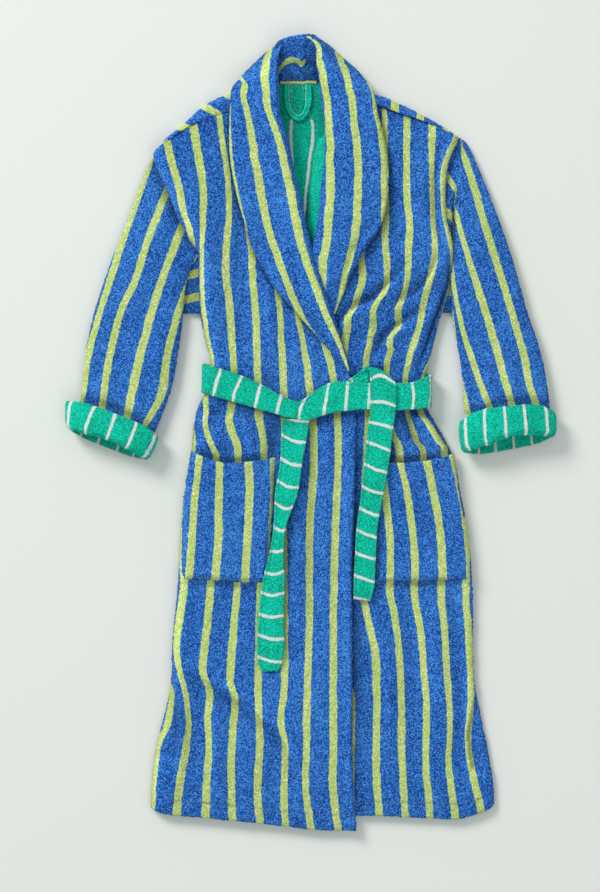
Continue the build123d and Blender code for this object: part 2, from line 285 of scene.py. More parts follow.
# ---------------------------------------------------------------- curves and noise
def smooth(points, count):
    """Evenly spaced points along one smooth curve through given points."""
    p = np.array(points, float)
    if len(p) == 2:
        t = np.linspace(0, 1, count)[:, None]
        return p[0] * (1 - t) + p[1] * t
    p = np.vstack([2 * p[0] - p[1], p, 2 * p[-1] - p[-2]])
    fine = []
    for a, b, c, d in zip(p, p[1:], p[2:], p[3:]):
        t = np.linspace(0, 1, 24, endpoint=False)[:, None]
        fine.append(b + 0.5 * t * (c - a) + t ** 2 * (a - 2.5 * b + 2 * c - 0.5 * d)
                    + t ** 3 * (-0.5 * a + 1.5 * b - 1.5 * c + 0.5 * d))
    fine = np.vstack(fine + [p[-2:-1]])
    run = np.concatenate([[0], np.cumsum(np.linalg.norm(np.diff(fine, axis=0), axis=1))])
    where = np.linspace(0, run[-1], count)
    return np.stack([np.interp(where, run, fine[:, k]) for k in range(fine.shape[1])], axis=1)


def by_height(points, heights):
    """Points of an edge at given y values. The edge rises or falls all the way."""
    fine = smooth(points, 400)
    if fine[0, 1] > fine[-1, 1]:
        fine = fine[::-1]
    return np.stack([np.interp(heights, fine[:, 1], fine[:, 0]), heights], axis=1)


def hashed(ix, iy, seed):
    """A repeatable number from 0 to 1 for each lattice point."""
    n = (ix.astype(np.int64) * 374761393 + iy.astype(np.int64) * 668265263 + seed * 974634777)
    n = (n ^ (n >> 13)) * 1274126177 & 0x7FFFFFFF
    return ((n ^ (n >> 16)) & 0xFFFF) / 65535.0


def noise2(x, y, scale, seed):
    """Smooth value noise, from -1 to 1, with lumps about as wide as scale."""
    x, y = x / scale, y / scale
    ix, iy = np.floor(x), np.floor(y)
    fx, fy = x - ix, y - iy
    fx, fy = fx * fx * (3 - 2 * fx), fy * fy * (3 - 2 * fy)
    a, b = hashed(ix, iy, seed), hashed(ix + 1, iy, seed)
    c, d = hashed(ix, iy + 1, seed), hashed(ix + 1, iy + 1, seed)
    return 2 * ((a * (1 - fx) + b * fx) * (1 - fy) + (c * (1 - fx) + d * fx) * fy) - 1


def fold(x, y, points, height, right, left):
    """Height of one fold along a line. Its two flanks may differ: right is the width of the
    flank on the right of the line, seen along it, and left that on the left."""
    line = np.array(points, float)
    steps = np.linalg.norm(np.diff(line, axis=0), axis=1)
    run = np.concatenate([[0], np.cumsum(steps)])
    nearest = np.full(x.shape, 1e9)
    side = np.zeros(x.shape)
    along = np.zeros(x.shape)
    for (ax, ay), (bx, by), start, step in zip(line, line[1:], run, steps):
        ux, uy = (bx - ax) / step, (by - ay) / step
        t = np.clip((x - ax) * ux + (y - ay) * uy, 0, step)
        dx, dy = x - ax - t * ux, y - ay - t * uy
        d = np.hypot(dx, dy)
        closer = d < nearest
        nearest = np.where(closer, d, nearest)
        side = np.where(closer, np.sign(ux * dy - uy * dx), side)
        along = np.where(closer, (start + t) / run[-1], along)
    width = np.where(side < 0, right, left)
    fade = np.clip(np.sin(np.pi * np.clip(along, 0.0, 1.0)), 0, 1) ** 0.6
    return height * np.exp(-(nearest / width) ** 2) * fade


def folds(x, y, table):
    """The sum of several folds, each (points, height, right flank, left flank)."""
    return sum(fold(x, y, *row) for row in table)


def painted_contact_shade(x, y, table):
    """Painted shadow on cloth beside what lies on it: each line, its depth, and its reach on either
    side.
    """
    shade = np.ones(x.shape)
    for row in table:
        shade = shade * (1 - fold(x, y, *row))
    return shade


def painted_crease_shade(grid, strength=0.075, steps=24):
    """Painted shade and painted highlight: darker in the hollows of a surface, and lighter on its
    crests.
    """
    z = grid[..., 2]
    wide = z.copy()
    for _ in range(steps):
        padded = np.pad(wide, 1, mode="edge")
        wide = (padded[:-2, 1:-1] + padded[2:, 1:-1] + padded[1:-1, :-2] + padded[1:-1, 2:]) / 4
    return np.clip(1 + strength * (z - wide), 0.60, 1.18)


def stripe_count(lines, x, y, pitch):
    """Counts stripes across the cloth: whole numbers where the given lines run.

    The lines run up and down, in order from left to right."""
    at = []
    for line in lines:
        fine = smooth(line, 120)
        fine = fine[np.argsort(fine[:, 1])]
        low, high = fine[0], fine[-1]
        slope_low = (fine[8, 0] - low[0]) / (fine[8, 1] - low[1])
        slope_high = (high[0] - fine[-9, 0]) / (high[1] - fine[-9, 1])
        at.append(np.interp(y, fine[:, 1], fine[:, 0])
                  + slope_low * np.minimum(y - low[1], 0) + slope_high * np.maximum(y - high[1], 0))
    count = np.minimum((x - at[0]) / pitch, 0) + np.maximum((x - at[-1]) / pitch, 0)
    for a, b in zip(at, at[1:]):
        count += np.clip((x - a) / np.maximum(b - a, 1.0), 0, 1)
    return count


# ---------------------------------------------------------------- cloth as a mesh
def grid_normals(grid, wrap):
    """Unit normals of a grid of points."""
    if wrap:
        du = np.roll(grid, -1, axis=1) - np.roll(grid, 1, axis=1)
    else:
        du = np.gradient(grid, axis=1)
    dv = np.gradient(grid, axis=0)
    n = np.cross(du, dv)
    return n / np.maximum(np.linalg.norm(n, axis=2, keepdims=True), 1e-9)


def grid_faces(rows, columns, wrap, first, flip):
    """Quads over a grid whose points are numbered from first."""
    r = np.arange(rows - 1)[:, None]
    c = np.arange(columns if wrap else columns - 1)[None, :]
    a = first + r * columns + c
    b = first + r * columns + (c + 1) % columns
    quads = np.stack([a, b, b + columns, a + columns], axis=-1).reshape(-1, 4)
    return quads[:, ::-1] if flip else quads


def rim_faces(loop, gap):
    """Quads round an edge, from the outer face to the inner one, whose points come gap later."""
    following = np.roll(loop, -1)
    return np.stack([following, loop, loop + gap, following + gap], axis=-1)


def cloth(name, grid, stripe, materials, seed, inner_stripe=None, thickness=CLOTH, wrap=False,
          pile=0.55, shade=None, inner_shade=None, turned_rows=0):
    """A layer of cloth over a grid of points, with its inner face and its edges.

    The outer face is on the side that the grid's normals point to, and shows the first material.
    The inner face shows the second, but the first over the first turned_rows rows."""
    rows, columns = grid.shape[:2]
    normal = grid_normals(grid, wrap)
    edge = np.zeros((rows, columns, 1))
    edge[[0, -1]] = 1
    if not wrap:
        edge[:, [0, -1]] = 1
    inner = grid - normal * thickness * (1 - SOFT_EDGE * edge)
    outer = grid - normal * thickness * SOFT_EDGE * edge
    rng = np.random.default_rng(seed)
    outer = outer + normal * rng.normal(0, pile, (rows, columns, 1))
    inner = inner - normal * rng.normal(0, pile * 0.6, (rows, columns, 1))
    ragged = rng.normal(0, pile * 0.7, (rows, columns, 3)) * edge
    outer, inner = outer + ragged, inner + ragged
    count = rows * columns
    faces = [grid_faces(rows, columns, wrap, 0, False),
             grid_faces(rows, columns, wrap, count, True)]
    index = np.arange(count).reshape(rows, columns)
    if wrap:
        loops = [index[0], index[-1][::-1]]
    else:
        loops = [np.concatenate([index[0], index[1:, -1], index[-1, -2::-1], index[-2:0:-1, 0]])]
    rims = [rim_faces(loop, count) for loop in loops]
    quads = np.concatenate(faces + rims)
    slots = np.zeros(len(quads), np.int32)
    turned = turned_rows * (columns if wrap else columns - 1)
    slots[len(faces[0]) + turned:len(faces[0]) + len(faces[1])] = 1
    points = np.concatenate([outer.reshape(-1, 3), inner.reshape(-1, 3)])
    if inner_stripe is None:
        inner_stripe = stripe
    plain = np.ones((rows, columns))
    shades = [plain if shade is None else shade, plain if inner_shade is None else inner_shade]
    place = grid.reshape(-1, 3) + seed * REST_STEP
    rest = np.concatenate([place, place + (0, 0, INNER_REST)])
    return mesh_object(name, points, quads, slots, materials, {
        "stripe": np.concatenate([stripe.ravel(), inner_stripe.ravel()]),
        "shade": np.concatenate([s.ravel() for s in shades]),
    }, rest)


def mesh_object(name, points, quads, slots, materials, numbers, rest):
    """A smooth mesh in metres, with its point attributes."""
    mesh = bpy.data.meshes.new(name)
    mesh.vertices.add(len(points))
    mesh.vertices.foreach_set("co", (points * MM).astype(np.float32).ravel())
    mesh.loops.add(quads.size)
    mesh.loops.foreach_set("vertex_index", quads.astype(np.int32).ravel())
    mesh.polygons.add(len(quads))
    mesh.polygons.foreach_set("loop_start", np.arange(0, quads.size, 4, dtype=np.int32))
    for material in materials:
        mesh.materials.append(material)
    mesh.polygons.foreach_set("material_index", slots)
    mesh.polygons.foreach_set("use_smooth", np.ones(len(quads), bool))
    mesh.update(calc_edges=True)
    for label, values in numbers.items():
        mesh.attributes.new(label, "FLOAT", "POINT").data.foreach_set(
            "value", values.astype(np.float32))
    mesh.attributes.new("rest", "FLOAT_VECTOR", "POINT").data.foreach_set(
        "vector", (rest * MM).astype(np.float32).ravel())
    mesh.validate()
    piece = bpy.data.objects.new(name, mesh)
    bpy.context.scene.collection.objects.link(piece)
    return piece


def panel_plan(left, right, bottom, top, spacing, roll_left=0.0, roll_right=0.0):
    """Rows of points inside four edges. A rolled side gets points close together, whose angle
    round the roll is returned with each: 0 at the extreme, pi / 2 where the cloth is flat."""
    rows = int(abs(left[-1][1] - left[0][1]) / spacing) + 2
    t = np.linspace(0, 1, rows)
    ends = []
    for edge in (left, right):
        low, high = min(edge[0][1], edge[-1][1]), max(edge[0][1], edge[-1][1])
        ends.append(by_height(edge, low + (high - low) * t))
    start, end = ends
    width = np.linalg.norm(end - start, axis=1)[:, None]
    turn = np.linspace(0, np.pi / 2, 8)
    inside = np.linspace(0, 1, int(width.max() / spacing))[None, :]
    flat = roll_left + (width - roll_left - roll_right) * inside
    parts, angles = [flat], [np.full(flat.shape, np.pi / 2)]
    if roll_left:
        d = roll_left * (1 - np.cos(turn[:-1]))
        parts.insert(0, np.tile(d, (rows, 1)))
        angles.insert(0, np.tile(turn[:-1], (rows, 1)))
    if roll_right:
        d = width - roll_right * (1 - np.cos(turn[-2::-1]))
        parts.append(d)
        angles.append(np.tile(turn[-2::-1], (rows, 1)))
    distance, angle = np.concatenate(parts, axis=1), np.concatenate(angles, axis=1)
    u = distance / width
    plan = start[:, None, :] * (1 - u[..., None]) + end[:, None, :] * u[..., None]
    for edge, weight in ((bottom, (1 - t) ** 3), (top, t ** 3)):
        if edge is None:
            continue
        curve = smooth(edge, 200)
        share = np.linspace(0, 1, 200)
        straight = curve[0] * (1 - share[:, None]) + curve[-1] * share[:, None]
        lift = np.interp(u, share, (curve - straight)[:, 1])
        plan[..., 1] += lift * weight[:, None]
    return plan[..., 0], plan[..., 1], angle, u


def rolled(height, angle, foot):
    """Height of a sheet that turns down at a rolled side to the height foot."""
    return foot + (height - foot) * np.sin(angle)


def smoothstep(value, low, high):
    """0 below low, 1 above high, and smooth between."""
    t = np.clip((value - low) / (high - low), 0, 1)
    return t * t * (3 - 2 * t)


def bump_between(value, low, high, slope):
    """1 between low and high, falling smoothly to 0 outside over slope."""
    return smoothstep(value, low - slope, low) * (1 - smoothstep(value, high, high + slope))


def facing(grid, direction):
    """True if most of a grid's normals point along direction."""
    return (grid_normals(grid, False) @ np.array(direction, float)).sum() > 0


def turned_to(direction, grid, *fields):
    """A grid and values on it, with their columns reversed if the grid faces the other way."""
    kept = (grid, *fields)
    if not facing(grid, direction):
        kept = tuple(field[:, ::-1] for field in kept)
    return kept if fields else kept[0]


def ruled(first, second, rows, columns):
    """A surface of straight lines from one smooth edge to another."""
    a, b = smooth(first, rows), smooth(second, rows)
    t = np.linspace(0, 1, columns)[None, :, None]
    return a[:, None, :] * (1 - t) + b[:, None, :] * t


def raised(plan, z):
    """Points of a plan at the heights z, one for each column."""
    return np.concatenate([plan, np.broadcast_to(z, plan.shape[:2])[..., None]], axis=-1)


def declare(piece, body, node=None):
    """Says which body a piece rides with, and hides the node that it stands for."""
    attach(piece, body)
    if node:
        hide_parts(node)


# ---------------------------------------------------------------- edges, in mm
RIGHT_SIDE = [(-261, -612), (-257, -553), (-249, -500), (-237, -455), (-227, -400), (-226, -354),
              (-222, -307), (-217, -254), (-214, -195), (-210, -130), (-202, -66), (-194, -28),
              (-192, 0), (-185, 38), (-174, 62), (-166, 90), (-163, 118), (-171, 150),
              (-179, 192), (-182, 239), (-184, 292)]
RIGHT_ARMHOLE = [(-184, 292), (-200, 321), (-217, 354), (-232, 392), (-246, 421), (-256, 453)]
LEFT_SIDE = [(302, -606), (299, -565), (290, -512), (279, -459), (270, -410), (267, -350),
             (267, -280), (264, -215), (257, -150), (246, -96), (238, -49), (223, -14),
             (207, 15), (192, 42), (187, 75), (193, 108), (202, 145), (213, 186), (226, 228),
             (232, 262)]
LEFT_ARMHOLE = [(232, 262), (235, 300), (230, 325), (224, 350), (221.5, 385), (223, 415),
                (229, 448), (241, 477)]
FRONT_EDGE = [(76, -648), (72, -594), (69, -506), (69, -389), (69, -254), (74, -60), (75, 35),
              (70, 80), (56, 122)]
RIGHT_NECK = [(56, 122), (0, 222), (-50, 320), (-84, 450), (-92, 535)]
LEFT_NECK = [(-60, 100), (-20, 165), (25, 240), (66, 340), (76, 450), (68, 540)]
RIGHT_HEM = [(-261, -612), (-235, -622), (-170, -628), (-88, -636), (-29, -643), (6, -647),
             (76, -648)]
LEFT_HEM = [(-60, -622), (76, -624), (147, -626), (235, -630), (264, -626), (293, -615),
            (302, -606)]
RIGHT_SEAM = [(-247, 467), (-231, 482), (-190, 505), (-128, 525), (-92, 532)]
LEFT_SEAM = [(68, 540), (108, 535), (155, 520), (200, 505), (244, 484)]

RIGHT_FRONT_STRIPES = [
    [(-275, 480), (-245, 350), (-229, 250), (-228, 150), (-219, 110), (-233, 30), (-247, -40),
     (-256, -150), (-250, -240), (-252, -350), (-240, -390), (-224, -425), (-234, -480),
     (-249, -505), (-255, -550), (-260, -620)],
    [(-235, 483), (-225, 440), (-213, 400), (-205, 360), (-190, 320), (-186, 250), (-185, 150),
     (-176, 110), (-191, 30), (-190, -10), (-192, -30), (-206, -70), (-214, -150), (-205, -240),
     (-213, -300), (-219, -350), (-212, -390), (-203, -430), (-198, -475), (-202, -515),
     (-213, -575), (-218, -620)],
    [(-190, 503), (-183, 460), (-174, 400), (-176, 350), (-178, 300), (-179, 250), (-176, 200),
     (-168, 150), (-161, 110), (-172, 60), (-171, 35), (-172, 15), (-168, -5), (-158, -25),
     (-152, -40), (-158, -100), (-162, -240), (-166, -300), (-172, -350), (-176, -383),
     (-168, -405), (-163, -425), (-168, -465), (-165, -510), (-168, -570), (-170, -625)],
    [(-147, 522), (-142, 480), (-135, 440), (-131, 400), (-131, 350), (-136, 300), (-137, 260),
     (-131, 210), (-127, 150), (-124, 105), (-128, 45), (-133, 25), (-127, 0), (-118, -30),
     (-119, -150), (-118, -245), (-124, -310), (-128, -370), (-131, -405), (-122, -432),
     (-126, -490), (-129, -540), (-127, -630)],
    [(-102, 335), (-95, 300), (-93, 250), (-89, 200), (-87, 150), (-86, 100), (-82, 30),
     (-74, -40), (-80, -200), (-84, -380), (-84, -450), (-81, -500), (-86, -580), (-82, -630)],
    [(-52, 228), (-48, 200), (-46, 150), (-44, 100), (-42, 15), (-44, -150), (-41, -390),
     (-48, -465), (-40, -515), (-42, -600), (-40, -635)],
    [(-18, 178), (-12, 150), (-5, 110), (5, 20), (7, -50), (4, -100), (0, -150), (-1, -300),
     (-4, -400), (-6, -500), (-8, -575), (2, -645)],
    [(25, 140), (36, 100), (45, 20), (45, -60), (43, -120), (40, -200), (38, -300), (38, -500),
     (38, -580), (46, -648)],
]
LEFT_FRONT_STRIPES = [
    [(83, 290), (86, 255), (79, 228), (73, 206), (62, 190), (61, 168), (57, 148), (56, 115),
     (58, 30), (57, -245), (60, -400), (67, -440), (66, -620)],
    [(124, 350), (122, 318), (125, 288), (126, 252), (122, 231), (109, 215), (102, 200),
     (103, 176), (97, 145), (91, 112), (95, 30), (90, -50), (82, -230), (90, -285), (98, -320),
     (107, -360), (109, -430), (108, -550), (113, -622)],
    [(158, 517), (157, 470), (157, 395), (162, 345), (160, 300), (159, 266), (156, 240),
     (149, 215), (143, 200), (145, 176), (137, 165), (129, 154), (129, 143), (133, 134),
     (127, 122), (125, 100), (124, 40), (135, 0), (147, -45), (131, -240), (137, -290),
     (145, -350), (149, -430), (150, -520), (156, -625)],
    [(198, 505), (201, 400), (202, 350), (204, 310), (204, 285), (198, 260), (191, 238),
     (185, 215), (181, 190), (175, 163), (165, 135), (159, 110), (155, 85), (160, 35),
     (165, 15), (175, -15), (185, -45), (170, -240), (180, -320), (187, -400), (190, -460),
     (189, -540), (196, -625)],
    [(240, 485), (227, 460), (217, 438), (213.5, 412), (214.5, 384), (217, 356), (224, 328),
     (230, 302), (234, 265), (229, 225), (217, 190), (211, 160), (203, 128), (190, 103),
     (179, 70), (177, 38), (195, 10), (210, -15), (219, -38), (214, -240), (219, -320),
     (224, -400), (229, -460), (228, -500), (226, -530), (229, -570), (237, -628)],
    [(275, 485), (262, 400), (266, 300), (262, 250), (248, 190), (228, 110), (226, 38),
     (245, 10), (262, -38), (254, -240), (259, -330), (262, -430), (257, -495), (262, -540),
     (272, -585), (281, -620)],
]


# ---------------------------------------------------------------- heights of the flat layers
HUMP = (24, 132, 20)           # y range and slope of the hump over the belt's back run
BELT_PINCH = (20, 116, 34)     # y range where the belt presses the fronts down


def hump(y):
    """Height of the hump that the belt's back run makes in the layers over it."""
    return 5.8 * bump_between(y, *HUMP)


# Folds: the line of each, its height, and the widths of its right and left flanks.
RIGHT_FOLDS = [
    # long slant across the skirt, where the stripes jog
    ([(-226, -372), (-172, -392), (-127, -420), (-84, -452), (-44, -484), (-14, -560), (-6, -610)],
     5.5, 9, 34),
    ([(-184, -400), (-188, -470), (-196, -560)], -5.5, 16, 12),
    ([(-157, -440), (-155, -520), (-152, -600)], 4.0, 9, 14),
    ([(-216, -400), (-213, -460), (-214, -540), (-222, -600)], 4.0, 8, 8),
    ([(-62, -500), (-66, -570), (-62, -640)], -3.5, 14, 12),
    ([(-106, -480), (-108, -560), (-104, -640)], 2.5, 12, 12),
    ([(-26, -500), (-24, -570), (-18, -640)], 2.8, 9, 12),
    ([(-142, -250), (-146, -320), (-150, -380)], -2.4, 14, 14),
    ([(-190, -250), (-194, -320), (-198, -380)], -2.4, 9, 9),
    ([(-104, -250), (-108, -330), (-110, -400)], 2.2, 14, 14),
    # under the belt, gathered towards the knot
    ([(-150, 64), (-160, 20), (-150, -30)], 6.0, 9, 12),
    ([(-176, 60), (-186, 10), (-196, -50)], -4.0, 8, 8),
    ([(-110, 46), (-104, 0), (-90, -60)], 5.0, 12, 9),
    ([(-66, 30), (-62, -10), (-64, -60)], -5.0, 10, 12),
    ([(-22, 24), (-20, -60), (-26, -200), (-24, -330)], 3.6, 11, 14),
    ([(26, 28), (24, -80), (20, -200), (18, -360)], 3.2, 12, 12),
    ([(62, 34), (60, -60), (56, -240), (56, -420), (60, -600)], 2.6, 9, 12),
    ([(10, 14), (30, -6), (48, -30)], 1.5, 6, 6),
    # chest
    ([(-156, 480), (-158, 400), (-160, 330), (-156, 240), (-148, 120)], 5.0, 22, 14),
    ([(-118, 440), (-113, 330), (-114, 240), (-106, 120)], -5.0, 12, 12),
    ([(-70, 260), (-66, 190), (-66, 110)], 4.5, 11, 13),
    ([(-28, 200), (-24, 150), (-26, 90)], 4.0, 9, 10),
    ([(14, 150), (20, 110), (22, 80)], -3.0, 8, 8),
    ([(-198, 440), (-190, 380), (-192, 320)], 3.5, 10, 12),
    ([(-84, 112), (-62, 92), (-30, 66)], -5.0, 10, 8),
    ([(-16, 90), (-6, 66), (4, 50)], -3.0, 8, 8),
]
ARMHOLE_CREASE = [(217, 483), (207, 441), (202, 398), (203, 353), (209, 328), (214, 300)]
LEFT_FOLDS = [
    # from the knot up to the armhole: each crest has a steep upper flank and a shaded valley
    ([(42, 160), (54, 182), (66, 196), (77, 204), (99, 212), (121, 232), (141, 252), (166, 276)],
     9.5, 26, 4),
    ([(44, 182), (58, 204), (84, 216), (106, 224), (122, 242), (140, 262)], -3.5, 8, 8),
    ([(92, 100), (110, 128), (124, 152), (139, 168), (157, 180), (175, 190), (188, 197)],
     9.0, 22, 4),
    ([(90, 120), (106, 146), (124, 166), (148, 184), (170, 196)], -3.0, 6, 7),
    ([(136, 200), (149, 212), (163, 218), (179, 228), (191, 244), (201, 264), (213, 288),
      (222, 304)], 8.0, 18, 4),
    ([(140, 216), (160, 232), (176, 244), (184, 262)], -3.0, 7, 7),
    ([(172, 92), (185, 132), (201, 180), (213, 212), (225, 249), (229, 300)], -7.0, 3, 4),
    ([(158, 92), (168, 130), (184, 168), (200, 206), (214, 240)], 4.0, 8, 10),
    ([(60, 180), (74, 150), (80, 116)], -2.6, 9, 9),
    ([(104, 190), (118, 150), (112, 112)], -3.5, 9, 7),
    ([(140, 440), (138, 380), (140, 320), (132, 260)], -4.0, 15, 15),
    ([(178, 470), (180, 400), (184, 320), (178, 260)], 4.0, 15, 17),
    (ARMHOLE_CREASE, -4.5, 9, 5),
    ([(104, 340), (100, 300), (102, 250)], -3.0, 9, 12),
    # below the knot
    ([(152, 40), (166, 4), (196, -40)], -7.0, 7, 8),
    ([(168, 40), (190, 6), (214, -34)], 6.0, 6, 14),
    ([(186, 40), (210, 8), (232, -34)], -4.0, 6, 5),
    ([(132, 40), (140, 0), (152, -50)], 5.0, 10, 12),
    ([(108, 30), (110, -30), (112, -120)], -3.0, 8, 8),
    # skirt
    ([(86, -270), (100, -310), (122, -370), (128, -460), (126, -560)], 4.5, 9, 14),
    ([(150, -260), (160, -330), (168, -420), (170, -560)], -4.0, 13, 13),
    ([(194, -260), (202, -350), (210, -440), (210, -560)], 4.0, 12, 14),
    ([(234, -280), (242, -380), (246, -450), (240, -520), (250, -590)], -4.5, 10, 10),
]


def sag_to_hem(y):
    """The layers settle on each other over the last stretch above the hem."""
    return 1 - smoothstep(y, -640, -480)


def over_height(x, y):
    """Top of the wearer's right front, which lies on top."""
    h = OVER_TOP - 1.2 + 0.9 * noise2(x, y, 70, 3) + 0.7 * noise2(x, y, 26, 5)
    h = h + 0.35 * noise2(x, y, 10, 8)
    h = h + folds(x, y, RIGHT_FOLDS) * (1 - 0.75 * bump_between(y, *BELT_PINCH))
    h = h - 1.6 * bump_between(y, 36, 100, 16) - 5.5 * sag_to_hem(y)
    left = np.interp(y, [-590, -540, -500, -450, -400], [-214, -214, -215, -217, -223])
    flap = smoothstep(left - x, -1.5, 3.0) * bump_between(y, -520, -405, 18)
    edge = smoothstep(x, 52, 64) * (1 - smoothstep(y, 0, 30)) * 2.2
    away = (x + 184) * 0.913 + (y - 292) * 0.408      # from the armhole fold, into the body
    armhole = smoothstep(y, 270, 330) * (1 - smoothstep(away, 8, 60)) * 4.5
    return h - 7.0 * flap + edge + smoothstep(y, 150, 260) + armhole


def under_height(x, y):
    """Top of the wearer's left front, which lies under the other."""
    h = UNDER_TOP - 0.8 + 0.9 * noise2(x, y, 70, 13) + 0.7 * noise2(x, y, 26, 15)
    h = h + 0.35 * noise2(x, y, 10, 18)
    h = h + folds(x, y, LEFT_FOLDS) * (1 - 0.6 * bump_between(y, 40, 95, 20))
    h = h - 4.5 * sag_to_hem(y) - 1.2 * bump_between(y, 36, 100, 16)
    right = np.interp(y, [-600, -540, -492, -455, -424], [262, 262, 256.5, 263, 269])
    flap = smoothstep(x - right, -1.5, 3.0) * bump_between(y, -540, -430, 16)
    chest = smoothstep(y, 150, 300) * (1 - smoothstep(y, 480, 530)) * 3.5
    armhole = smoothstep(y, 240, 310) * smoothstep(x, 170, 215) * 4.5
    covered = 1 - smoothstep(x, 30, 62)
    return h - 6.5 * flap + chest + armhole - 3.0 * covered


RIGHT_PAINTED_SHADOWS = [
    # painted shade in the creases under the belt and above it, and in the skirt's folds
    ([(-150, 56), (-160, 30), (-170, 6)], 0.3, 5, 8),
    ([(-78, 96), (-72, 90), (-58, 78)], 0.35, 9, 9),
    ([(-184, 46), (-190, 10), (-198, -26)], 0.3, 6, 6),
    ([(-58, 26), (-58, -10), (-60, -40)], 0.4, 14, 8),
    ([(-6, 12), (2, -60), (0, -200), (-4, -330)], 0.22, 9, 9),
    ([(-222, -380), (-176, -400), (-130, -428), (-88, -460), (-48, -494), (-20, -560)],
     0.25, 16, 3),
    ([(-222, -412), (-218, -460), (-221, -505)], 0.45, 3, 7),
    # painted shadow beside the collar, round the pocket, along the belt and its end
    ([(-127, 562), (-131, 520), (-132, 470), (-128, 430), (-118, 380), (-106, 340), (-92, 295),
      (-60, 239), (-30, 204), (-4, 175), (28, 139), (51, 110)], 0.5, 6, 6),
    ([(-213, -243), (-150, -246), (-100, -249), (-66, -248)], 0.5, 4.5, 8),
    ([(-54, -38), (-59, -130), (-64, -200), (-66, -244)], 0.35, 4, 4),
    ([(-204, -20), (-182, -30), (-150, -42), (-120, -43), (-90, -40), (-50, -33)], 0.65, 8, 7),
    ([(-176, 116), (-145, 108), (-110, 97), (-80, 83), (-50, 67), (-20, 55), (15, 77), (36, 86),
      (60, 87)], 0.3, 5, 5),
    ([(-176, 63), (-156, 56), (-130, 49), (-95, 39), (-60, 29), (-28, 20), (0, 18), (18, 24),
      (36, 29), (60, 33), (95, 35)], 0.5, 14, 8),
    ([(-1, 14), (-3, 0), (-12, -50), (-20, -100), (-38, -150), (-41, -200), (-39, -240),
      (-40, -300), (-39, -350), (-44, -380)], 0.4, 7, 7),
    ([(97, 33), (91, 0), (86, -50), (81, -100), (74, -150), (71, -200), (69, -250)], 0.3, 4, 4),
]
LEFT_PAINTED_SHADOWS = [
    # painted shade in the hollow above each slanting fold, and in the one beside the fold down the
    # side
    ([(40, 164), (52, 186), (64, 200), (76, 208), (97, 216), (119, 236), (139, 256), (164, 280)],
     0.52, 2, 13),
    ([(90, 104), (107, 131), (121, 155), (137, 172), (156, 184), (174, 194), (190, 202)],
     0.52, 2, 11),
    ([(134, 203), (147, 215), (161, 222), (176, 231), (188, 246), (198, 266), (210, 290),
      (219, 306)], 0.52, 2, 10),
    ([(172, 92), (185, 132), (201, 180), (213, 212), (225, 249), (230, 300)], 0.72, 4, 2.2),
    # painted shade beside the side flap, in the armhole crease and in the folds below the knot
    ([(270, -424), (263, -455), (257.5, -492), (262, -540)], 0.4, 4, 3),
    (ARMHOLE_CREASE, 0.32, 4, 3),
    ([(148, 36), (164, 0), (196, -40)], 0.35, 8, 6),
    ([(182, 36), (208, 4), (230, -36)], 0.3, 5, 5),
    # painted shadow beside the other front's edge, the collar, the pocket, the belt and its end
    ([(79, -646), (75, -594), (72, -506), (72, -389), (72, -254), (77, -60), (78, 35)],
     0.55, 13, 30),
    ([(104, 535), (116, 500), (124, 470), (130, 430), (130, 400), (125, 360), (113, 330),
      (93, 302), (80, 277), (66, 253), (58, 230), (46, 205)], 0.55, 6, 7),
    ([(104, -248), (180, -246), (230, -244), (265, -242)], 0.5, 4.5, 8),
    ([(104, -240), (104, -140), (106, -50)], 0.35, 4, 4),
    ([(98, -41), (150, -42), (190, -39), (215, -33), (244, -25)], 0.65, 8, 7),
    ([(193, 100), (182, 93), (165, 87), (140, 86), (122, 98), (106, 110), (92, 112)], 0.3, 5, 5),
    ([(200, 38), (165, 35), (136, 33)], 0.5, 8, 14),
    ([(140, 36), (136, 0), (130, -50), (121, -100), (112, -150), (109, -200), (107, -245),
      (100, -276)], 0.45, 8, 8),
]


def make_front(name, node, left, right, hem, seam, height, stripes, painted_shadows, rolls, foot,
               materials, seed):
    """One front of the robe, from the hem to the shoulder seam. Its sides turn down over the
    widths in rolls, to the height foot."""
    x, y, angle, _ = panel_plan(left, right, hem, seam, PANEL_SPACING, *rolls)
    z = rolled(height(x, y), angle, foot(x, y))
    grid = np.stack([x, y, z], axis=-1)
    rows = np.arange(grid.shape[0])[:, None] / (grid.shape[0] - 1)
    stitched = 1.1 * np.exp(-((y - hem_line(hem, x) - HEM_DEPTH) / 1.6) ** 2)
    grid[..., 2] -= stitched * (angle > 1.2)
    # painted shade and painted highlight: darker in hollows, beside what lies on the front, in the
    # stitched groove above the hem and along the hem's edge; lighter on crests
    shade = painted_crease_shade(grid) * painted_contact_shade(x, y, painted_shadows) * (1 - 0.12 * stitched)
    shade = shade * (1 - 0.10 * np.exp(-(rows * 400) ** 2 / 50))
    piece = cloth(name, grid, stripe_count(stripes, x, y, OUT_PITCH), materials,
                  inner_stripe=x / IN_PITCH + 0.4, seed=seed, shade=shade)
    path = [(c, hem_row(grid, hem, c)) for c in range(9, grid.shape[1] - 9)]
    sew(f"{name}_stitches", "root", grid, path, materials[0])
    declare(piece, "root", node)
    return piece


def hem_line(hem, x):
    """Height in y of a hem at x."""
    line = np.array(hem, float)
    order = np.argsort(line[:, 0])
    return np.interp(x, line[order, 0], line[order, 1])


def hem_row(grid, hem, column):
    """Row of a grid, with its fraction, where a column crosses the hem's stitching."""
    near = 60                            # rows, which reach well past the stitching
    x, y = grid[:near, column, 0], grid[:near, column, 1]
    over = y - hem_line(hem, x) - HEM_DEPTH
    return float(np.interp(0.0, over, np.arange(len(over))))


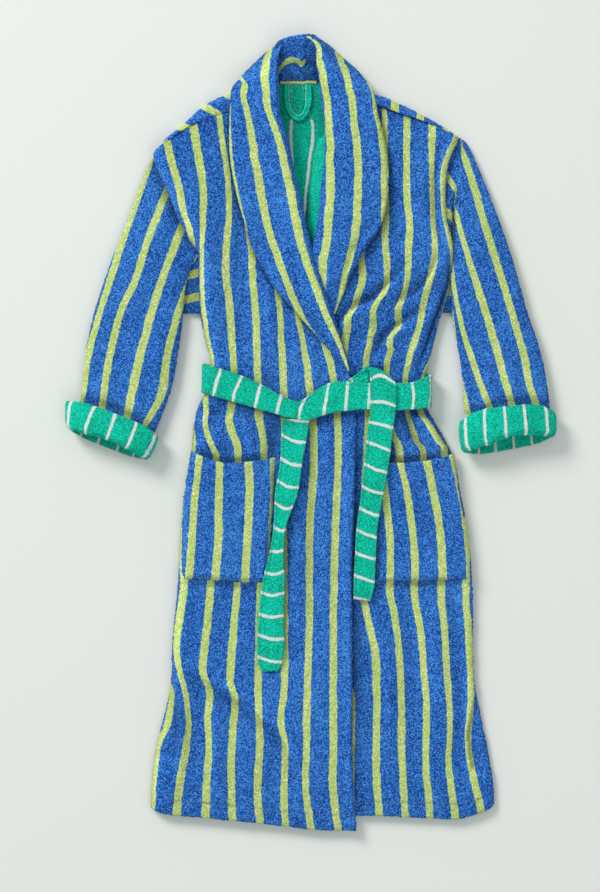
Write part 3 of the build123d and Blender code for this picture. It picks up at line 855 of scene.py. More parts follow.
def at_places(field, column, row):
    """Values of a field at places between the points of its grid."""
    c = np.clip(column.astype(int), 0, field.shape[1] - 2)
    r = np.clip(row.astype(int), 0, field.shape[0] - 2)
    fc, fr = (column - c)[:, None], (row - r)[:, None]
    return ((field[r, c] * (1 - fc) + field[r, c + 1] * fc) * (1 - fr)
            + (field[r + 1, c] * (1 - fc) + field[r + 1, c + 1] * fc) * fr)


def sew(name, body, grid, path, material):
    """Stitches along a path over a grid of points, given as (column, row) pairs."""
    column, row = np.array(path, float).T
    normals = grid_normals(grid, False)
    if normals[..., 2].sum() < 0:
        normals = -normals
    points, ups = at_places(grid, column, row), at_places(normals, column, row)
    run = np.concatenate([[0], np.cumsum(np.linalg.norm(np.diff(points, axis=0), axis=1))])
    count = max(int(run[-1] / STITCH_PITCH), 1)
    centres = (np.arange(count) + 0.5) * run[-1] / count
    steps = np.linspace(-1, 1, 7)
    sides = np.linspace(0, 2 * np.pi, 6, endpoint=False)
    where = centres[:, None] + steps[None, :] * STITCH_LENGTH / 2
    middle = np.stack([np.interp(where, run, points[:, k]) for k in range(3)], axis=-1)
    up = np.stack([np.interp(where, run, ups[:, k]) for k in range(3)], axis=-1)
    up = up / np.linalg.norm(up, axis=-1, keepdims=True)
    ahead = np.gradient(middle, axis=1)
    ahead = ahead / np.maximum(np.linalg.norm(ahead, axis=-1, keepdims=True), 1e-9)
    across = np.cross(ahead, up)
    girth = STITCH_RADIUS * np.sqrt(np.clip(1.02 - steps ** 2, 0, 1))
    middle = middle + up * (0.75 * (1 - steps ** 2) - 0.15)[None, :, None]
    ring = (across[:, :, None] * np.cos(sides)[None, None, :, None]
            + up[:, :, None] * np.sin(sides)[None, None, :, None])
    tubes = (middle[:, :, None] + ring * girth[None, :, None, None]).reshape(-1, 3)
    block = len(steps) * len(sides)                   # points of one stitch
    lids = np.array([[0, 1, 2, 3], [0, 3, 4, 5]])
    stitch = np.concatenate([grid_faces(len(steps), len(sides), True, 0, True), lids[:, ::-1],
                             lids + block - len(sides)])
    quads = (stitch[None] + (np.arange(count) * block)[:, None, None]).reshape(-1, 4)
    piece = mesh_object(name, tubes, quads, np.zeros(len(quads), np.int32),
                        [THREADS[material.name]],
                        {"stripe": np.full(len(tubes), 0.5), "shade": np.ones(len(tubes))}, tubes)
    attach(piece, body)


def side_foot(y, low_y, low, high):
    """Height to which a side rolls down: low in the skirt, high at the armhole fold."""
    return low + hump(y) + (high - low) * smoothstep(y, low_y - 10, low_y + 40)


def over_foot(x, y):
    """Height to which the sides of the wearer's right front turn down."""
    return np.where(x > -20, 19.0 - 4.0 * sag_to_hem(y), side_foot(y, 292, 4.6, 17))


def under_foot(x, y):
    """The same for the wearer's left front."""
    return np.where(x < 90, under_height(x, y) - 3, side_foot(y, 262, 4.6, 14))


def make_fronts(materials):
    """The two fronts, the wearer's right one on top."""
    right = make_front("right_front_cloth", "right_front_panel",
                       RIGHT_SIDE + RIGHT_ARMHOLE[1:] + [(-247, 467)],
                       FRONT_EDGE + RIGHT_NECK[1:], RIGHT_HEM, RIGHT_SEAM, over_height,
                       RIGHT_FRONT_STRIPES, RIGHT_PAINTED_SHADOWS, (SIDE_ROLL, 5.0), over_foot,
                       materials, 1)
    left = make_front("left_front_cloth", "left_front_panel",
                      [(-60, -622), (-60, 100)] + LEFT_NECK[1:],
                      LEFT_SIDE + LEFT_ARMHOLE[1:] + [(243, 484)], LEFT_HEM, LEFT_SEAM,
                      under_height, LEFT_FRONT_STRIPES, LEFT_PAINTED_SHADOWS, (4.0, SIDE_ROLL),
                      under_foot, materials, 2)


def make_back(materials):
    """The back, lying face down, with the shoulders that come forward over the top."""
    left = RIGHT_SIDE + [(-250, 447), (-224, 477), (-200, 497), (-162, 527), (-126, 548), (-52, 577)]
    right = LEFT_SIDE + [(244, 468), (210, 489), (178, 511), (138, 531), (101, 547), (14, 577)]
    x, y, _, u = panel_plan(left, right, LEFT_HEM[2:], None, BACK_SPACING)
    inset = 2.0 * np.sign(0.5 - u) * np.exp(-(np.minimum(u, 1 - u) * 80) ** 2)
    z = 0.35 + hump(y) * bump_between(x, -185, 205, 14)
    z = z + 0.3 * (1 + noise2(x, y, 60, 23)) * (1 - bump_between(y, -660, -560, 20))
    grid = np.stack([x + inset, y, z], axis=-1)[:, ::-1]
    inner_lines = [[(-66, 570), (-66, 340)], [(-31, 512), (-31, 480), (-29, 440), (-27, 340)],
                   [(1, 518), (5, 500), (3, 470), (0, 456), (-4, 420), (-8, 394), (-10, 350),
                    (-12, 330)], [(36, 520), (36, 340)]]
    outer = (grid[..., 0] / OUT_PITCH) + 0.3
    inner = stripe_count(inner_lines, grid[..., 0], grid[..., 1], IN_PITCH)
    inner = np.where(grid[..., 1] > 516, np.floor(inner) + 0.5, inner)
    # painted shade: the back's inner face, seen in the neck opening, darker towards the neck under
    # the collar
    dark = 1 - 0.25 * smoothstep(grid[..., 1], 380, 520)
    piece = cloth("back_cloth", grid, outer, materials, inner_stripe=inner, seed=3, pile=0.3,
                  inner_shade=dark)
    declare(piece, "root", "back_panel")
    make_yoke("right_shoulder_cloth",
              [(-240, 477), (-222, 493), (-205, 507), (-173, 536), (-128, 557), (-76, 569)],
              [(-236, 473), (-215, 488), (-190, 502), (-150, 517), (-128, 523), (-76, 531)],
              -0.9, [(-252, 463), (-207, 500), (-162, 528), (-124, 545)],
              materials, 4)
    make_yoke("left_shoulder_cloth",
              [(52, 567), (103, 556), (141, 541), (182, 521), (217, 501), (240, 485)],
              [(52, 535), (108, 533), (150, 519), (190, 506), (220, 493), (238, 480)],
              0.12, [(95, 545), (138, 531), (180, 515), (222, 492)],
              materials, 5)


def make_yoke(name, top, seam, lean, stripe_points, materials, seed):
    """The strip between the top of a shoulder and the seam on the front. Its stripes move lean
    along x for each step up in y."""
    columns, behind, crown = 60, 5, OVER_TOP + 0.6
    crest, edge = smooth(top, columns), smooth(seam, columns)
    turn = np.linspace(-0.35, np.pi / 2, 9)
    rows = []
    width = np.linalg.norm(crest - edge, axis=1)
    radius = np.minimum(11, 0.6 * width)
    for a in turn:                       # over the top of the shoulder, from behind
        drop = radius * (1 - np.cos(a)) * (1 if a > 0 else -0.4)
        z = behind + (crown - behind) * np.sin(a) if a > 0 else behind + 10 * a
        plan = crest + (edge - crest) * (drop / width)[:, None]
        rows.append(np.column_stack([plan, np.full(columns, z)]))
    last = rows[-1]
    for t in np.linspace(0, 1, 9)[1:]:   # down to the seam, which turns under
        plan = last[:, :2] * (1 - t) + edge * t
        z = crown + 0.9 * np.sin(np.pi * t) - 3.0 * max(t - 0.85, 0) / 0.15
        rows.append(np.column_stack([plan, np.full(columns, z)]))
    grid = np.stack(rows)[::-1]
    grid[..., 2] += 0.5 * noise2(grid[..., 0], grid[..., 1], 22, seed)
    marks, levels = np.array(stripe_points, float).T
    slant = (grid[..., 1] - np.interp(grid[..., 0], marks, levels)) * lean
    stripe = np.interp(grid[..., 0] - slant, marks, np.arange(len(marks)))
    grid, stripe = turned_to(UP, grid, stripe)
    piece = cloth(name, grid, stripe, materials, thickness=3.6, seed=seed)
    declare(piece, "root")


# ---------------------------------------------------------------- collar
# Rows across the collar, from the back of the neck down to the belt. Each has the outer edge,
# the roll edge, and where the stripes cross it: 0 at the outer edge, 1 at the roll.
RIGHT_COLLAR = [
    ((-34, 644), (-44, 632), (-4.0, -2.6, -1.2, 2.4)),
    ((-54, 636), (-50, 620), (-2.6, -1.6, -0.5, 2.0)),
    ((-76, 619), (-52, 606), (-1.6, -0.8, 0.15, 1.7)),
    ((-100, 595), (-52, 590), (-1.3, -0.80, 0.46, 1.5)),
    ((-117, 575), (-52, 574), (-0.9, -0.42, 0.61, 1.4)),
    ((-128, 556), (-51, 556), (-0.3, 0.20, 0.68, 1.35)),
    ((-130, 520), (-48.5, 520), (-0.04, 0.30, 0.785, 1.3)),
    ((-131, 470), (-34, 470), (-0.03, 0.38, 0.845, 1.3)),
    ((-127, 430), (-27, 430), (-0.02, 0.40, 0.875, 1.3)),
    ((-117, 380), (-14, 380), (-0.02, 0.38, 0.855, 1.3)),
    ((-105, 340), (-6, 338), (-0.05, 0.35, 0.850, 1.3)),
    ((-91, 295), (6, 293), (-0.1, 0.37, 0.820, 1.3)),
    ((-59, 239), (22, 239), (-0.2, 0.28, 0.825, 1.4)),
    ((-29, 204), (33, 205), (-0.5, 0.10, 0.79, 1.5)),
    ((-3, 175), (43, 176), (-0.7, -0.06, 0.78, 1.6)),
    ((29, 139), (54, 142), (-1.4, -0.25, 0.80, 1.8)),
    ((52, 110), (62, 114), (-2.2, -0.8, 0.7, 2.0)),
    ((60, 98), (65, 102), (-2.6, -1.2, 0.7, 2.0)),
]
LEFT_COLLAR = [
    ((-8, 644), (2, 652), (-2.6, 0.55, 3.2, 6.0)),
    ((1, 638), (18, 643), (-1.8, 0.42, 2.4, 4.5)),
    ((8, 630), (34, 632), (-1.0, 0.24, 1.6, 3.0)),
    ((10, 616), (52, 615), (-0.8, 0.14, 1.02, 1.9)),
    ((11, 600), (74, 596), (-0.6, 0.13, 0.80, 1.5)),
    ((15, 577), (91, 575), (-0.5, 0.10, 0.68, 1.25)),
    ((18, 556), (103, 555), (-0.4, 0.10, 0.585, 1.04)),
    ((22, 520), (110, 520), (-0.4, 0.08, 0.56, 1.0)),
    ((25, 490), (118, 490), (-0.4, 0.065, 0.53, 0.985)),
    ((27, 460), (124, 460), (-0.4, 0.065, 0.526, 0.965)),
    ((22, 430), (127, 430), (-0.35, 0.12, 0.55, 0.955)),
    ((18, 400), (127, 400), (-0.3, 0.147, 0.55, 0.94)),
    ((15, 360), (122, 360), (-0.3, 0.15, 0.565, 0.99)),
    ((10, 330), (110, 331), (-0.3, 0.19, 0.63, 1.07)),
    ((4, 302), (90, 301), (-0.3, 0.25, 0.745, 1.2)),
    ((-2, 278), (77, 277), (-0.3, 0.28, 0.80, 1.3)),
    ((4, 255), (63, 253), (-0.3, 0.27, 0.85, 1.4)),
    ((16, 232), (55, 230), (-0.6, 0.1, 0.9, 1.7)),
    ((28, 210), (46, 209), (-1.2, -0.2, 1.0, 2.2)),
    ((34, 196), (41, 195), (-2.0, -0.8, 1.0, 3.0)),
]


def nearest(path, place):
    """Index of the point of a path that is nearest to a place."""
    return int(np.argmin(np.linalg.norm(path - np.array(place), axis=1)))


def collar_grid(table, profile, rows, columns, seed, lift, outer):
    """Points of a collar half. profile gives, across the collar, how far each point lies from
    the first edge (0) to the second (1), and its height. outer is the outer edge, 0 or 1."""
    first = smooth([row[0] for row in table], rows)
    second = smooth([row[1] for row in table], rows)
    reached = [(nearest(first, row[0]) + nearest(second, row[1])) / 2 for row in table]
    station = np.interp(np.arange(rows), reached, np.arange(len(table)))
    marks = np.stack([np.interp(station, np.arange(len(table)), [row[2][k] for row in table])
                      for k in range(4)], axis=1)
    across = smooth(profile, columns)
    u, z = across[:, 0], across[:, 1]
    # where the cloth turns under at either edge, its own length counts for the stripes
    run = u.copy()
    length = np.concatenate([[0], np.cumsum(np.hypot(np.diff(u), np.diff(z) / 95))])
    low_end, high_end = int(np.argmin(u[:columns // 2])), int(np.argmax(u))
    run[:low_end] = u[low_end] - (length[low_end] - length[:low_end])
    run[high_end:] = u[high_end] + (length[high_end:] - length[high_end])
    grid = np.zeros((rows, columns, 3))
    stripe = np.zeros((rows, columns))
    order = np.arange(4.0)
    for i in range(rows):
        grid[i, :, :2] = first[i] + (second[i] - first[i]) * u[:, None]
        width = np.linalg.norm(second[i] - first[i])
        low = min(1.0, max(width / 55, 0.72))        # a narrow collar lies lower
        grid[i, :, 2] = OVER_TOP + (z - OVER_TOP) * low
        stripe[i] = np.interp(run, marks[i], order)
        beyond = run > marks[i][-1]
        stripe[i][beyond] = order[-1] + (run[beyond] - marks[i][-1]) * width / OUT_PITCH
        short = run < marks[i][0]
        stripe[i][short] = (run[short] - marks[i][0]) * width / OUT_PITCH
    x, y = grid[..., 0], grid[..., 1]
    grid[..., 2] += 0.9 * noise2(x, y, 60, seed) + 0.6 * noise2(x, y, 22, seed + 1)
    grid[..., 2] += lift(x, y)
    # behind the shoulders the outer edge hangs down
    outward = np.abs(1 - outer - u)[None, :]
    grid[..., 2] -= 17 * smoothstep(y, 556, 604) * smoothstep(outward, 0.35, 1.0)
    return grid, stripe


def make_collar(materials):
    """The two halves of the shawl collar, from the centre back down to the belt."""
    top = COLLAR_TOP
    right_profile = [(0.05, 26.0), (0.012, 26.6), (0.0, 29.5), (0.012, 32.6), (0.05, 34.6),
                     (0.12, 35.4), (0.25, top - 0.5), (0.45, top + 1.5), (0.7, top + 3),
                     (0.88, top + 2.5), (0.965, top - 1), (1.0, top - 6.5), (0.985, 26),
                     (0.94, 23.5)]
    left_profile = [(0.06, 22.5), (0.015, 24.5), (0.0, 29), (0.03, 33.5), (0.12, top + 1),
                    (0.3, top + 2.0), (0.55, top + 0.5), (0.8, top - 1.5), (0.90, 33.6),
                    (0.96, 33.0), (0.99, 31.0), (1.0, 28.0), (0.985, 25.6), (0.95, 25.2)]

    def right_lift(x, y):
        """Folds of the right half, which lies lower near the belt."""
        low = -3.0 * (1 - smoothstep(y, 110, 170))
        return low + folds(x, y, [
            ([(-110, 590), (-118, 540), (-116, 470), (-100, 380)], 1.6, 10, 12),
            ([(-70, 600), (-74, 560), (-66, 520)], -2.0, 12, 10),
            ([(-90, 440), (-70, 380), (-56, 330)], -2.4, 14, 14),
            ([(-60, 268), (-30, 224), (0, 186), (20, 164), (42, 133), (58, 102)], -3.4, 3, 3),
            ([(-50, 380), (-60, 392), (-40, 372)], -2.0, 10, 10),
            ([(-20, 262), (10, 224), (40, 170)], 1.8, 8, 10)])

    def left_lift(x, y):
        """Folds of the left half, whose lower end is tucked under the right front."""
        tuck = -9.5 * (1 - smoothstep(y + 0.55 * x, 232, 322))
        return tuck + folds(x, y, [
            ([(40, 610), (50, 560), (52, 500)], -1.8, 12, 14),
            ([(96, 560), (100, 500), (104, 430), (98, 360)], 1.8, 10, 14),
            ([(122, 410), (118, 385), (105, 355), (85, 325), (70, 300), (58, 270), (48, 240),
              (38, 205)], -3.6, 3, 3),
            ([(56, 440), (54, 370), (46, 310)], -1.6, 14, 12)])

    halves = (("collar_right_cloth", "collar_right_half", RIGHT_COLLAR, right_profile, right_lift,
               31, 0),
              ("collar_left_cloth", "collar_left_half", LEFT_COLLAR, left_profile, left_lift,
               41, 1))
    for name, node, table, profile, lift, seed, outer in halves:
        grid, stripe = collar_grid(table, profile, 230, 52, seed, lift, outer)
        if not facing(grid, UP):
            grid, stripe = grid[::-1], stripe[::-1]
        piece = cloth(name, grid, stripe, materials, thickness=3.8, seed=seed,
                      shade=painted_crease_shade(grid, 0.05, 30))
        declare(piece, "root", node)


def make_stand(blue):
    """The stand at the back of the neck: up from the seam, over the top and down behind."""
    columns, rows = 44, 40
    seam = smooth([(-58, 573), (-47, 574), (-19, 573), (8, 574), (22, 573)], columns)
    crest = smooth([(-56, 634), (-46, 641), (-30, 646), (-8, 649), (4, 649), (14, 643), (24, 634)],
                   columns)
    profile = smooth([(0.0, 5.2), (0.12, 8.0), (0.22, 10.5), (0.36, 13), (0.42, 16.5), (0.52, 22),
                      (0.7, 27), (0.86, 32), (0.96, 33.5), (1.0, 30), (0.995, 20), (0.97, 8)], rows)
    grid = np.zeros((rows, columns, 3))
    for i, (w, z) in enumerate(profile):
        grid[i, :, :2] = seam + (crest - seam) * w
        grid[i, :, 2] = z
    x, y = grid[..., 0], grid[..., 1]
    grid[..., 2] += 0.8 * noise2(x, y, 18, 51)
    wall = 31 * np.maximum(smoothstep(-x, 50, 57), smoothstep(x, 17, 22)) * (
        1 - smoothstep(y, 616, 628))      # the stand goes on up under each half of the collar
    grid[..., 2] = np.maximum(grid[..., 2], wall)
    wobble = np.interp(x, [-52, -45, -38, -30, -20, -14, -6], [592, 600, 607, 609, 608, 602, 608])
    stripe = np.clip(np.abs(y - wobble) / (0.68 * OUT_PITCH), 0, 0.5)
    from_seam = x - CENTRE_BACK
    stripe = np.where(from_seam > 0, 0.5, stripe)
    grid[..., 2] -= 1.6 * np.exp(-(from_seam / 2.0) ** 2)
    # painted shade: darker low on the stand where it tucks under, in the groove of the centre seam
    # and at the left end under the collar's roll; the stand right of the seam is darker as well
    shade = 1 - 0.35 * (1 - smoothstep(y, 574, 606))
    shade = shade * (1 - 0.25 * smoothstep(from_seam, -0.5, 1.0))
    shade = shade * (1 - 0.4 * np.exp(-(from_seam / 1.3) ** 2))
    shade = shade * (1 - 0.45 * (1 - smoothstep(x, -48, -41)))
    grid, stripe, shade = turned_to((0, -1, 1), grid, stripe, shade)
    stand = cloth("collar_stand_cloth", grid, stripe, [blue, blue], thickness=3.4, seed=6,
                  shade=shade)
    declare(stand, "root", "under_collar")


def make_under_lapels(blue):
    """The stand under each lapel, out of sight from the front."""
    stands = (("right_stand_cloth", [(-89, 535), (-81, 450), (-47, 320), (3, 222), (56, 126)],
               [(-54, 572), (-50, 520), (-30, 430), (5, 296), (60, 126)], 61, (0.06, 0.46), 0.018),
              ("left_stand_cloth", [(74, 535), (72, 450), (62, 340), (38, 296)],
               [(14, 572), (24, 490), (20, 400), (16, 310)], 62, (0.06, 0.25), 0.0125))
    for name, outer, roll, seed, flat, area in stands:
        columns = 12
        level = 22.6 + 0.6 * np.linspace(0, 1, columns)
        grid = turned_to(UP, raised(ruled(outer, roll, 90, columns), level))
        piece = cloth(name, grid, grid[..., 0] / OUT_PITCH, [blue, blue], thickness=2.6, seed=seed,
                      pile=0.15)
        declare(piece, "root")


def make_inner_fold(green):
    """The left front's inner face, turned towards the viewer along the opening."""
    edge = [(34, 520), (25, 492), (12, 478), (5, 453), (1, 422), (-6, 373), (-9, 345), (-2, 300)]
    roll = [(36, 522), (36, 490), (38, 460), (34, 430), (30, 400), (27, 360), (20, 330), (12, 298)]
    columns = 14
    t = np.linspace(0, 1, columns)
    level = 9 + 13 * np.sin(t * np.pi / 2) - 3.0 * np.exp(-(t * 9) ** 2)
    grid = raised(ruled(edge, roll, 80, columns), level)
    grid[..., 2] += 0.6 * noise2(grid[..., 0], grid[..., 1], 20, 71)
    grid = turned_to(UP, grid)
    fold_piece = cloth("left_front_inner_fold", grid, np.full(grid.shape[:2], 0.5), [green, green],
                       thickness=3.6, seed=8)
    declare(fold_piece, "root")


def make_tape(tape):
    """The tape over the neck seam."""
    rows, columns, half_width = 60, 9, 2.9
    run = smooth([(-49, 574.5), (-40, 573.5), (-26, 574.5), (-12, 573), (-4, 574.5), (11, 574)],
                 rows)
    across = np.linspace(-1, 1, columns)
    grid = np.zeros((rows, columns, 3))
    grid[..., 0] = run[:, :1]
    grid[..., 1] = run[:, 1:] + across * half_width
    grid[..., 2] = 6.0 + 1.3 * np.cos(across * np.pi / 2)
    grid = turned_to(UP, grid)
    strip = cloth("neck_tape_cloth", grid, np.full(grid.shape[:2], 0.5), [tape, tape],
                  thickness=1.4, seed=9, pile=0.2)
    declare(strip, "root", "neck_tape")


def make_neck(blue, green, tape):
    """What is inside the neck: the collar's stand, the left front's edge and the tape."""
    make_stand(blue)
    make_under_lapels(blue)
    make_inner_fold(green)
    make_tape(tape)


# ---------------------------------------------------------------- strips: belt and loops
def strip_grid(first, second, rows, columns):
    """A flat strip between two edges in space, with a stitched ridge beside each edge."""
    ridge, edge = 0.8, 1.3
    grid = ruled(first, second, rows, columns)
    u = np.linspace(0, 1, columns)
    width = np.linalg.norm(grid[:, -1] - grid[:, 0], axis=1)[:, None]
    near = np.minimum(u, 1 - u)[None, :] * width
    relief = (ridge * (np.exp(-((near - 2.4) / 1.5) ** 2) - np.exp(-((near - 5.2) / 1.1) ** 2))
              - edge * np.exp(-(near / 1.2) ** 2))
    up = 1 if facing(grid, UP) else -1
    return grid + grid_normals(grid, False) * relief[..., None] * up


def make_strip(name, node, body, grid, stripe, materials, seed,
               shade=1.0):
    """A run of the belt over a grid of points, with stitches along both of its edges."""
    shade = np.broadcast_to(shade, stripe.shape)
    grid, stripe, shade = turned_to(UP, grid, stripe, shade)
    piece = cloth(name, grid, stripe, materials, thickness=3.6, seed=seed, pile=0.28,
                  shade=shade)
    declare(piece, body, node)
    for side, share in (("a", 0.105), ("b", 0.895)):
        column = share * (grid.shape[1] - 1)
        sew(f"{name}_stitches_{side}", body, grid,
            [(column, r) for r in np.arange(2, grid.shape[0] - 2)], materials[0])


WRAP_STRIPE = [(140, 44), (118, 51), (97, 51)]   # where the turn meets the left end


def swapped(lines):
    """Given lines with their two coordinates exchanged, in rising order."""
    return [[(y, x) for x, y in line] for line in lines]


def make_belt_right_run(pair):
    """The run from the wearer's right: round the side, across, under the other run and up."""
    upper = [(-164, 114, 5.5), (-172, 115, 7), (-176, 115, 14), (-174, 114, 22), (-166, 112, 26.5),
             (-145, 106, 27.5), (-110, 95, 27.6), (-80, 81, 27.5), (-50, 65, 27.2),
             (-20, 53, 26.6), (10, 60, 25.8), (40, 78, 25.6), (65, 90, 26), (84, 104, 27.4),
             (95, 108, 29.5)]
    lower = [(-164, 66, 5.5), (-172, 66, 7), (-177, 66, 14), (-176, 65, 22), (-170, 64, 26.5),
             (-156, 59, 27.5), (-130, 52, 27.6), (-95, 42, 27.5), (-60, 32, 27.2),
             (-28, 23, 26.6), (4, 24, 25.8), (36, 44, 25.6), (60, 60, 26), (80, 74, 27.4),
             (97, 84, 29.5)]
    grid = strip_grid(upper, lower, 150, 24)
    x, y = grid[..., 0], grid[..., 1]
    grid[..., 2] += folds(x, y, [([(-100, 84), (-60, 62), (-20, 44)], 1.2, 3, 3),
                                 ([(-110, 88), (-70, 70), (-30, 52)], -1.0, 2, 2)])
    grid[..., 2] += 0.4 * noise2(x, y, 26, 81)
    right_lines = [[(-194, 60), (-190, 112)], [(-158, 62), (-153, 80), (-145, 106)],
                   [(-125, 52), (-122, 68), (-112, 92)], [(-90, 39), (-86, 58), (-81, 77)],
                   [(-55, 30), (-51, 46), (-47, 62)], [(-17, 22), (-16, 38), (-8, 55)],
                   [(34, 30), (30, 70)], [(70, 66), (66, 96)]]
    round_side = np.clip(25 - grid[..., 2], 0, None) * (x < -150) / IN_PITCH
    make_strip("belt_right_cloth", "belt_right_run", "root", grid,
               stripe_count(right_lines, x, y, IN_PITCH) - round_side, pair,
               seed=10)


def make_belt_left_run(pair):
    """The run from the wearer's left: round the side, across, over the other run."""
    high = BELT_TOP - 0.6
    upper = [(185, 97, 5.5), (193, 98, 7), (198, 98, 14), (199, 97, 24), (195, 96, 30),
             (182, 90, high), (165, 84, high), (140, 83, high), (100, 83, high), (60, 85, high),
             (35, 84, high), (15, 75, high), (-4, 61, high), (-20, 51, 30.6)]
    lower = [(185, 44, 5.5), (193, 42, 7), (197, 42, 14), (197, 41, 24), (193, 41, 30),
             (184, 40, high), (165, 38, high), (140, 36.5, high), (95, 38, high), (60, 36, high),
             (36, 32, high), (18, 27, high), (0, 21, high), (-17, 20, 30.6)]
    grid = strip_grid(upper, lower, 150, 24)
    x, y = grid[..., 0], grid[..., 1]
    grid[..., 2] += folds(x, y, [([(-24, 52), (0, 45), (25, 42.5), (50, 38), (60, 36)], -1.8, 2, 3),
                                 ([(-16, 42), (14, 38), (44, 34)], 1.6, 5, 4),
                                 ([(70, 62), (84, 60), (97, 60)], -0.8, 6, 6)])
    grid[..., 2] += 0.4 * noise2(x, y, 26, 82)
    left_lines = [[(-19, 20), (-18, 30), (-15, 42), (-8, 56)], [(22, 28), (25, 50), (31, 84)],
                  [(58, 36), (59, 60), (62, 85)], [(95, 36), (96, 60), (98, 84)],
                  [(131, 36), (132, 84)], [(167, 38), (169, 60), (166, 84)],
                  [(193, 40), (197, 70), (196, 98)]]
    round_side = np.clip(29 - grid[..., 2], 0, None) * (x > 170) / IN_PITCH
    make_strip("belt_left_cloth", "belt_left_run", "root", grid,
               stripe_count(left_lines, x, y, IN_PITCH) + round_side, pair,
               seed=11)


def make_belt_wrap(pair):
    """The turn over the top edge, down across both runs."""
    over = TAIL_TOP
    left_edge = [(80, 99, 27.5), (86, 105, 29), (91, 109.5, 32), (93, 108, over - 1.2),
                 (96, 96, over), (97, 70, over), (97, 50, over), (97, 33, over - 0.1)]
    right_edge = [(97, 107, 27.5), (106, 106.5, 29), (122, 99.5, 32), (133, 92, over - 1.2),
                  (140, 82, over), (142, 66, over), (141, 50, over), (139, 33, over - 0.1)]
    grid = strip_grid(left_edge, right_edge, 70, 24)
    x, y = grid[..., 0], grid[..., 1]
    grid[..., 2] += 0.4 * noise2(x, y, 20, 83)
    lines = [WRAP_STRIPE, [(141, 80), (122, 92), (110, 94), (98, 88)],
             [(143, 118), (118, 128), (96, 122)]]
    make_strip("belt_wrap_cloth", "belt_wrap", "root", grid,
               stripe_count(swapped(lines), y, x, IN_PITCH), pair, seed=12)


def make_belt_end_left(pair):
    """The free end that comes down from the turn."""
    over = TAIL_TOP
    left_edge = [(97, 36, over - 0.3), (92, 0, over - 0.6), (87, -50, over - 1.4),
                 (82, -100, over - 2.2), (75, -150, over - 3.0), (72, -200, over - 4.5),
                 (70, -250, over - 7.0), (70, -270, over - 8)]
    right_edge = [(140, 36, over - 0.3), (135, 0, over - 0.6), (129, -50, over - 1.4),
                  (120, -100, over - 2.2), (111, -150, over - 3.0), (108, -200, over - 4.5),
                  (106, -245, over - 7.0), (99, -273, over - 8)]
    grid = strip_grid(left_edge, right_edge, 150, 24)
    x, y = grid[..., 0], grid[..., 1]
    grid[..., 2] += 0.6 * noise2(x, y, 30, 84)
    grid[..., 2] -= 1.6 * smoothstep(-y, 262, 274)
    lines = [[(104, -276), (88, -271), (68, -266)], [(105, -242), (88, -236), (71, -230)],
             [(107, -204), (90, -200), (72, -193)], [(108, -169), (91, -164), (73, -156)],
             [(113, -134), (96, -129), (78, -120)], [(119, -98), (100, -93), (82, -84)],
             [(124, -64), (105, -58), (86, -48)], [(130, -28), (110, -20), (91, -13)],
             [(136, 9), (114, 15), (95, 19)], WRAP_STRIPE]
    make_strip("belt_tail_left_cloth", "belt_tail_left", "belt_tail_left", grid,
               stripe_count(swapped(lines), y, x, IN_PITCH), pair, seed=14)


def make_belt_end_right(pair):
    """The free end that comes out under both runs."""
    over = TAIL_TOP
    left_edge = [(-45, 24, 31.5), (-46, 12, 33), (-47, 0, over - 1), (-50, -50, over - 0.6),
                 (-58, -100, over - 1.0), (-60, -150, over - 1.2), (-68, -200, over - 3),
                 (-78, -240, over - 5), (-85, -300, over - 7.5), (-87, -350, over - 9),
                 (-85, -376, over - 10), (-78, -388, over - 10.5)]
    right_edge = [(0, 22, 31.5), (-1, 12, 33), (-3, 0, over - 1), (-12, -50, over - 0.6),
                  (-20, -100, over - 1.4), (-38, -150, over + 0.4), (-42, -200, over - 1.5),
                  (-40, -240, over - 5), (-42, -300, over - 7.5), (-41, -350, over - 9),
                  (-46, -378, over - 10), (-52, -387, over - 10.5)]
    grid = strip_grid(left_edge, right_edge, 190, 24)
    x, y = grid[..., 0], grid[..., 1]
    grid[..., 2] += 0.6 * noise2(x, y, 30, 85)
    grid[..., 2] += folds(x, y, [([(-6, -40), (-14, -90), (-36, -150), (-44, -210)], 2.2, 4, 9)])
    lines = [[(-40, -404), (-64, -402), (-88, -400)], [(-44, -372), (-62, -371), (-86, -363)],
             [(-42, -333), (-62, -335), (-86, -327)], [(-42, -296), (-64, -298), (-86, -293)],
             [(-40, -259), (-62, -263), (-84, -257)], [(-40, -223), (-58, -229), (-78, -225)],
             [(-40, -188), (-54, -192), (-66, -191)], [(-36, -155), (-48, -158), (-60, -151)],
             [(-22, -117), (-40, -122), (-58, -112)], [(-16, -88), (-36, -86), (-56, -76)],
             [(-9, -52), (-30, -50), (-52, -38)], [(-3, -15), (-24, -13), (-46, -1)],
             [(4, 20), (-20, 21), (-44, 27)]]
    # painted shade on the end where it comes out from under both runs
    shade = 1 - 0.28 * smoothstep(y, -2, 20)
    make_strip("belt_tail_right_cloth", "belt_tail_right", "belt_tail_right", grid,
               stripe_count(swapped(lines), y, x, IN_PITCH), pair, seed=15,
               shade=shade)


def make_belt_back_run(pair):
    """The back run, under the back panel."""
    grid = strip_grid([(-166, 114, 5.6), (-60, 107, 5.6), (80, 102, 5.6), (187, 98, 5.6)],
                      [(-166, 66, 5.6), (-60, 56, 5.6), (80, 48, 5.6), (187, 40, 5.6)], 120, 20)
    grid = turned_to(DOWN, grid)
    x = grid[..., 0]
    back = cloth("belt_back_cloth", grid * (1, 1, 0) + (0, 0, 2.0), x / IN_PITCH + 0.3, pair,
                 thickness=3.4, seed=13, pile=0.2)
    declare(back, "root", "belt_back_run")


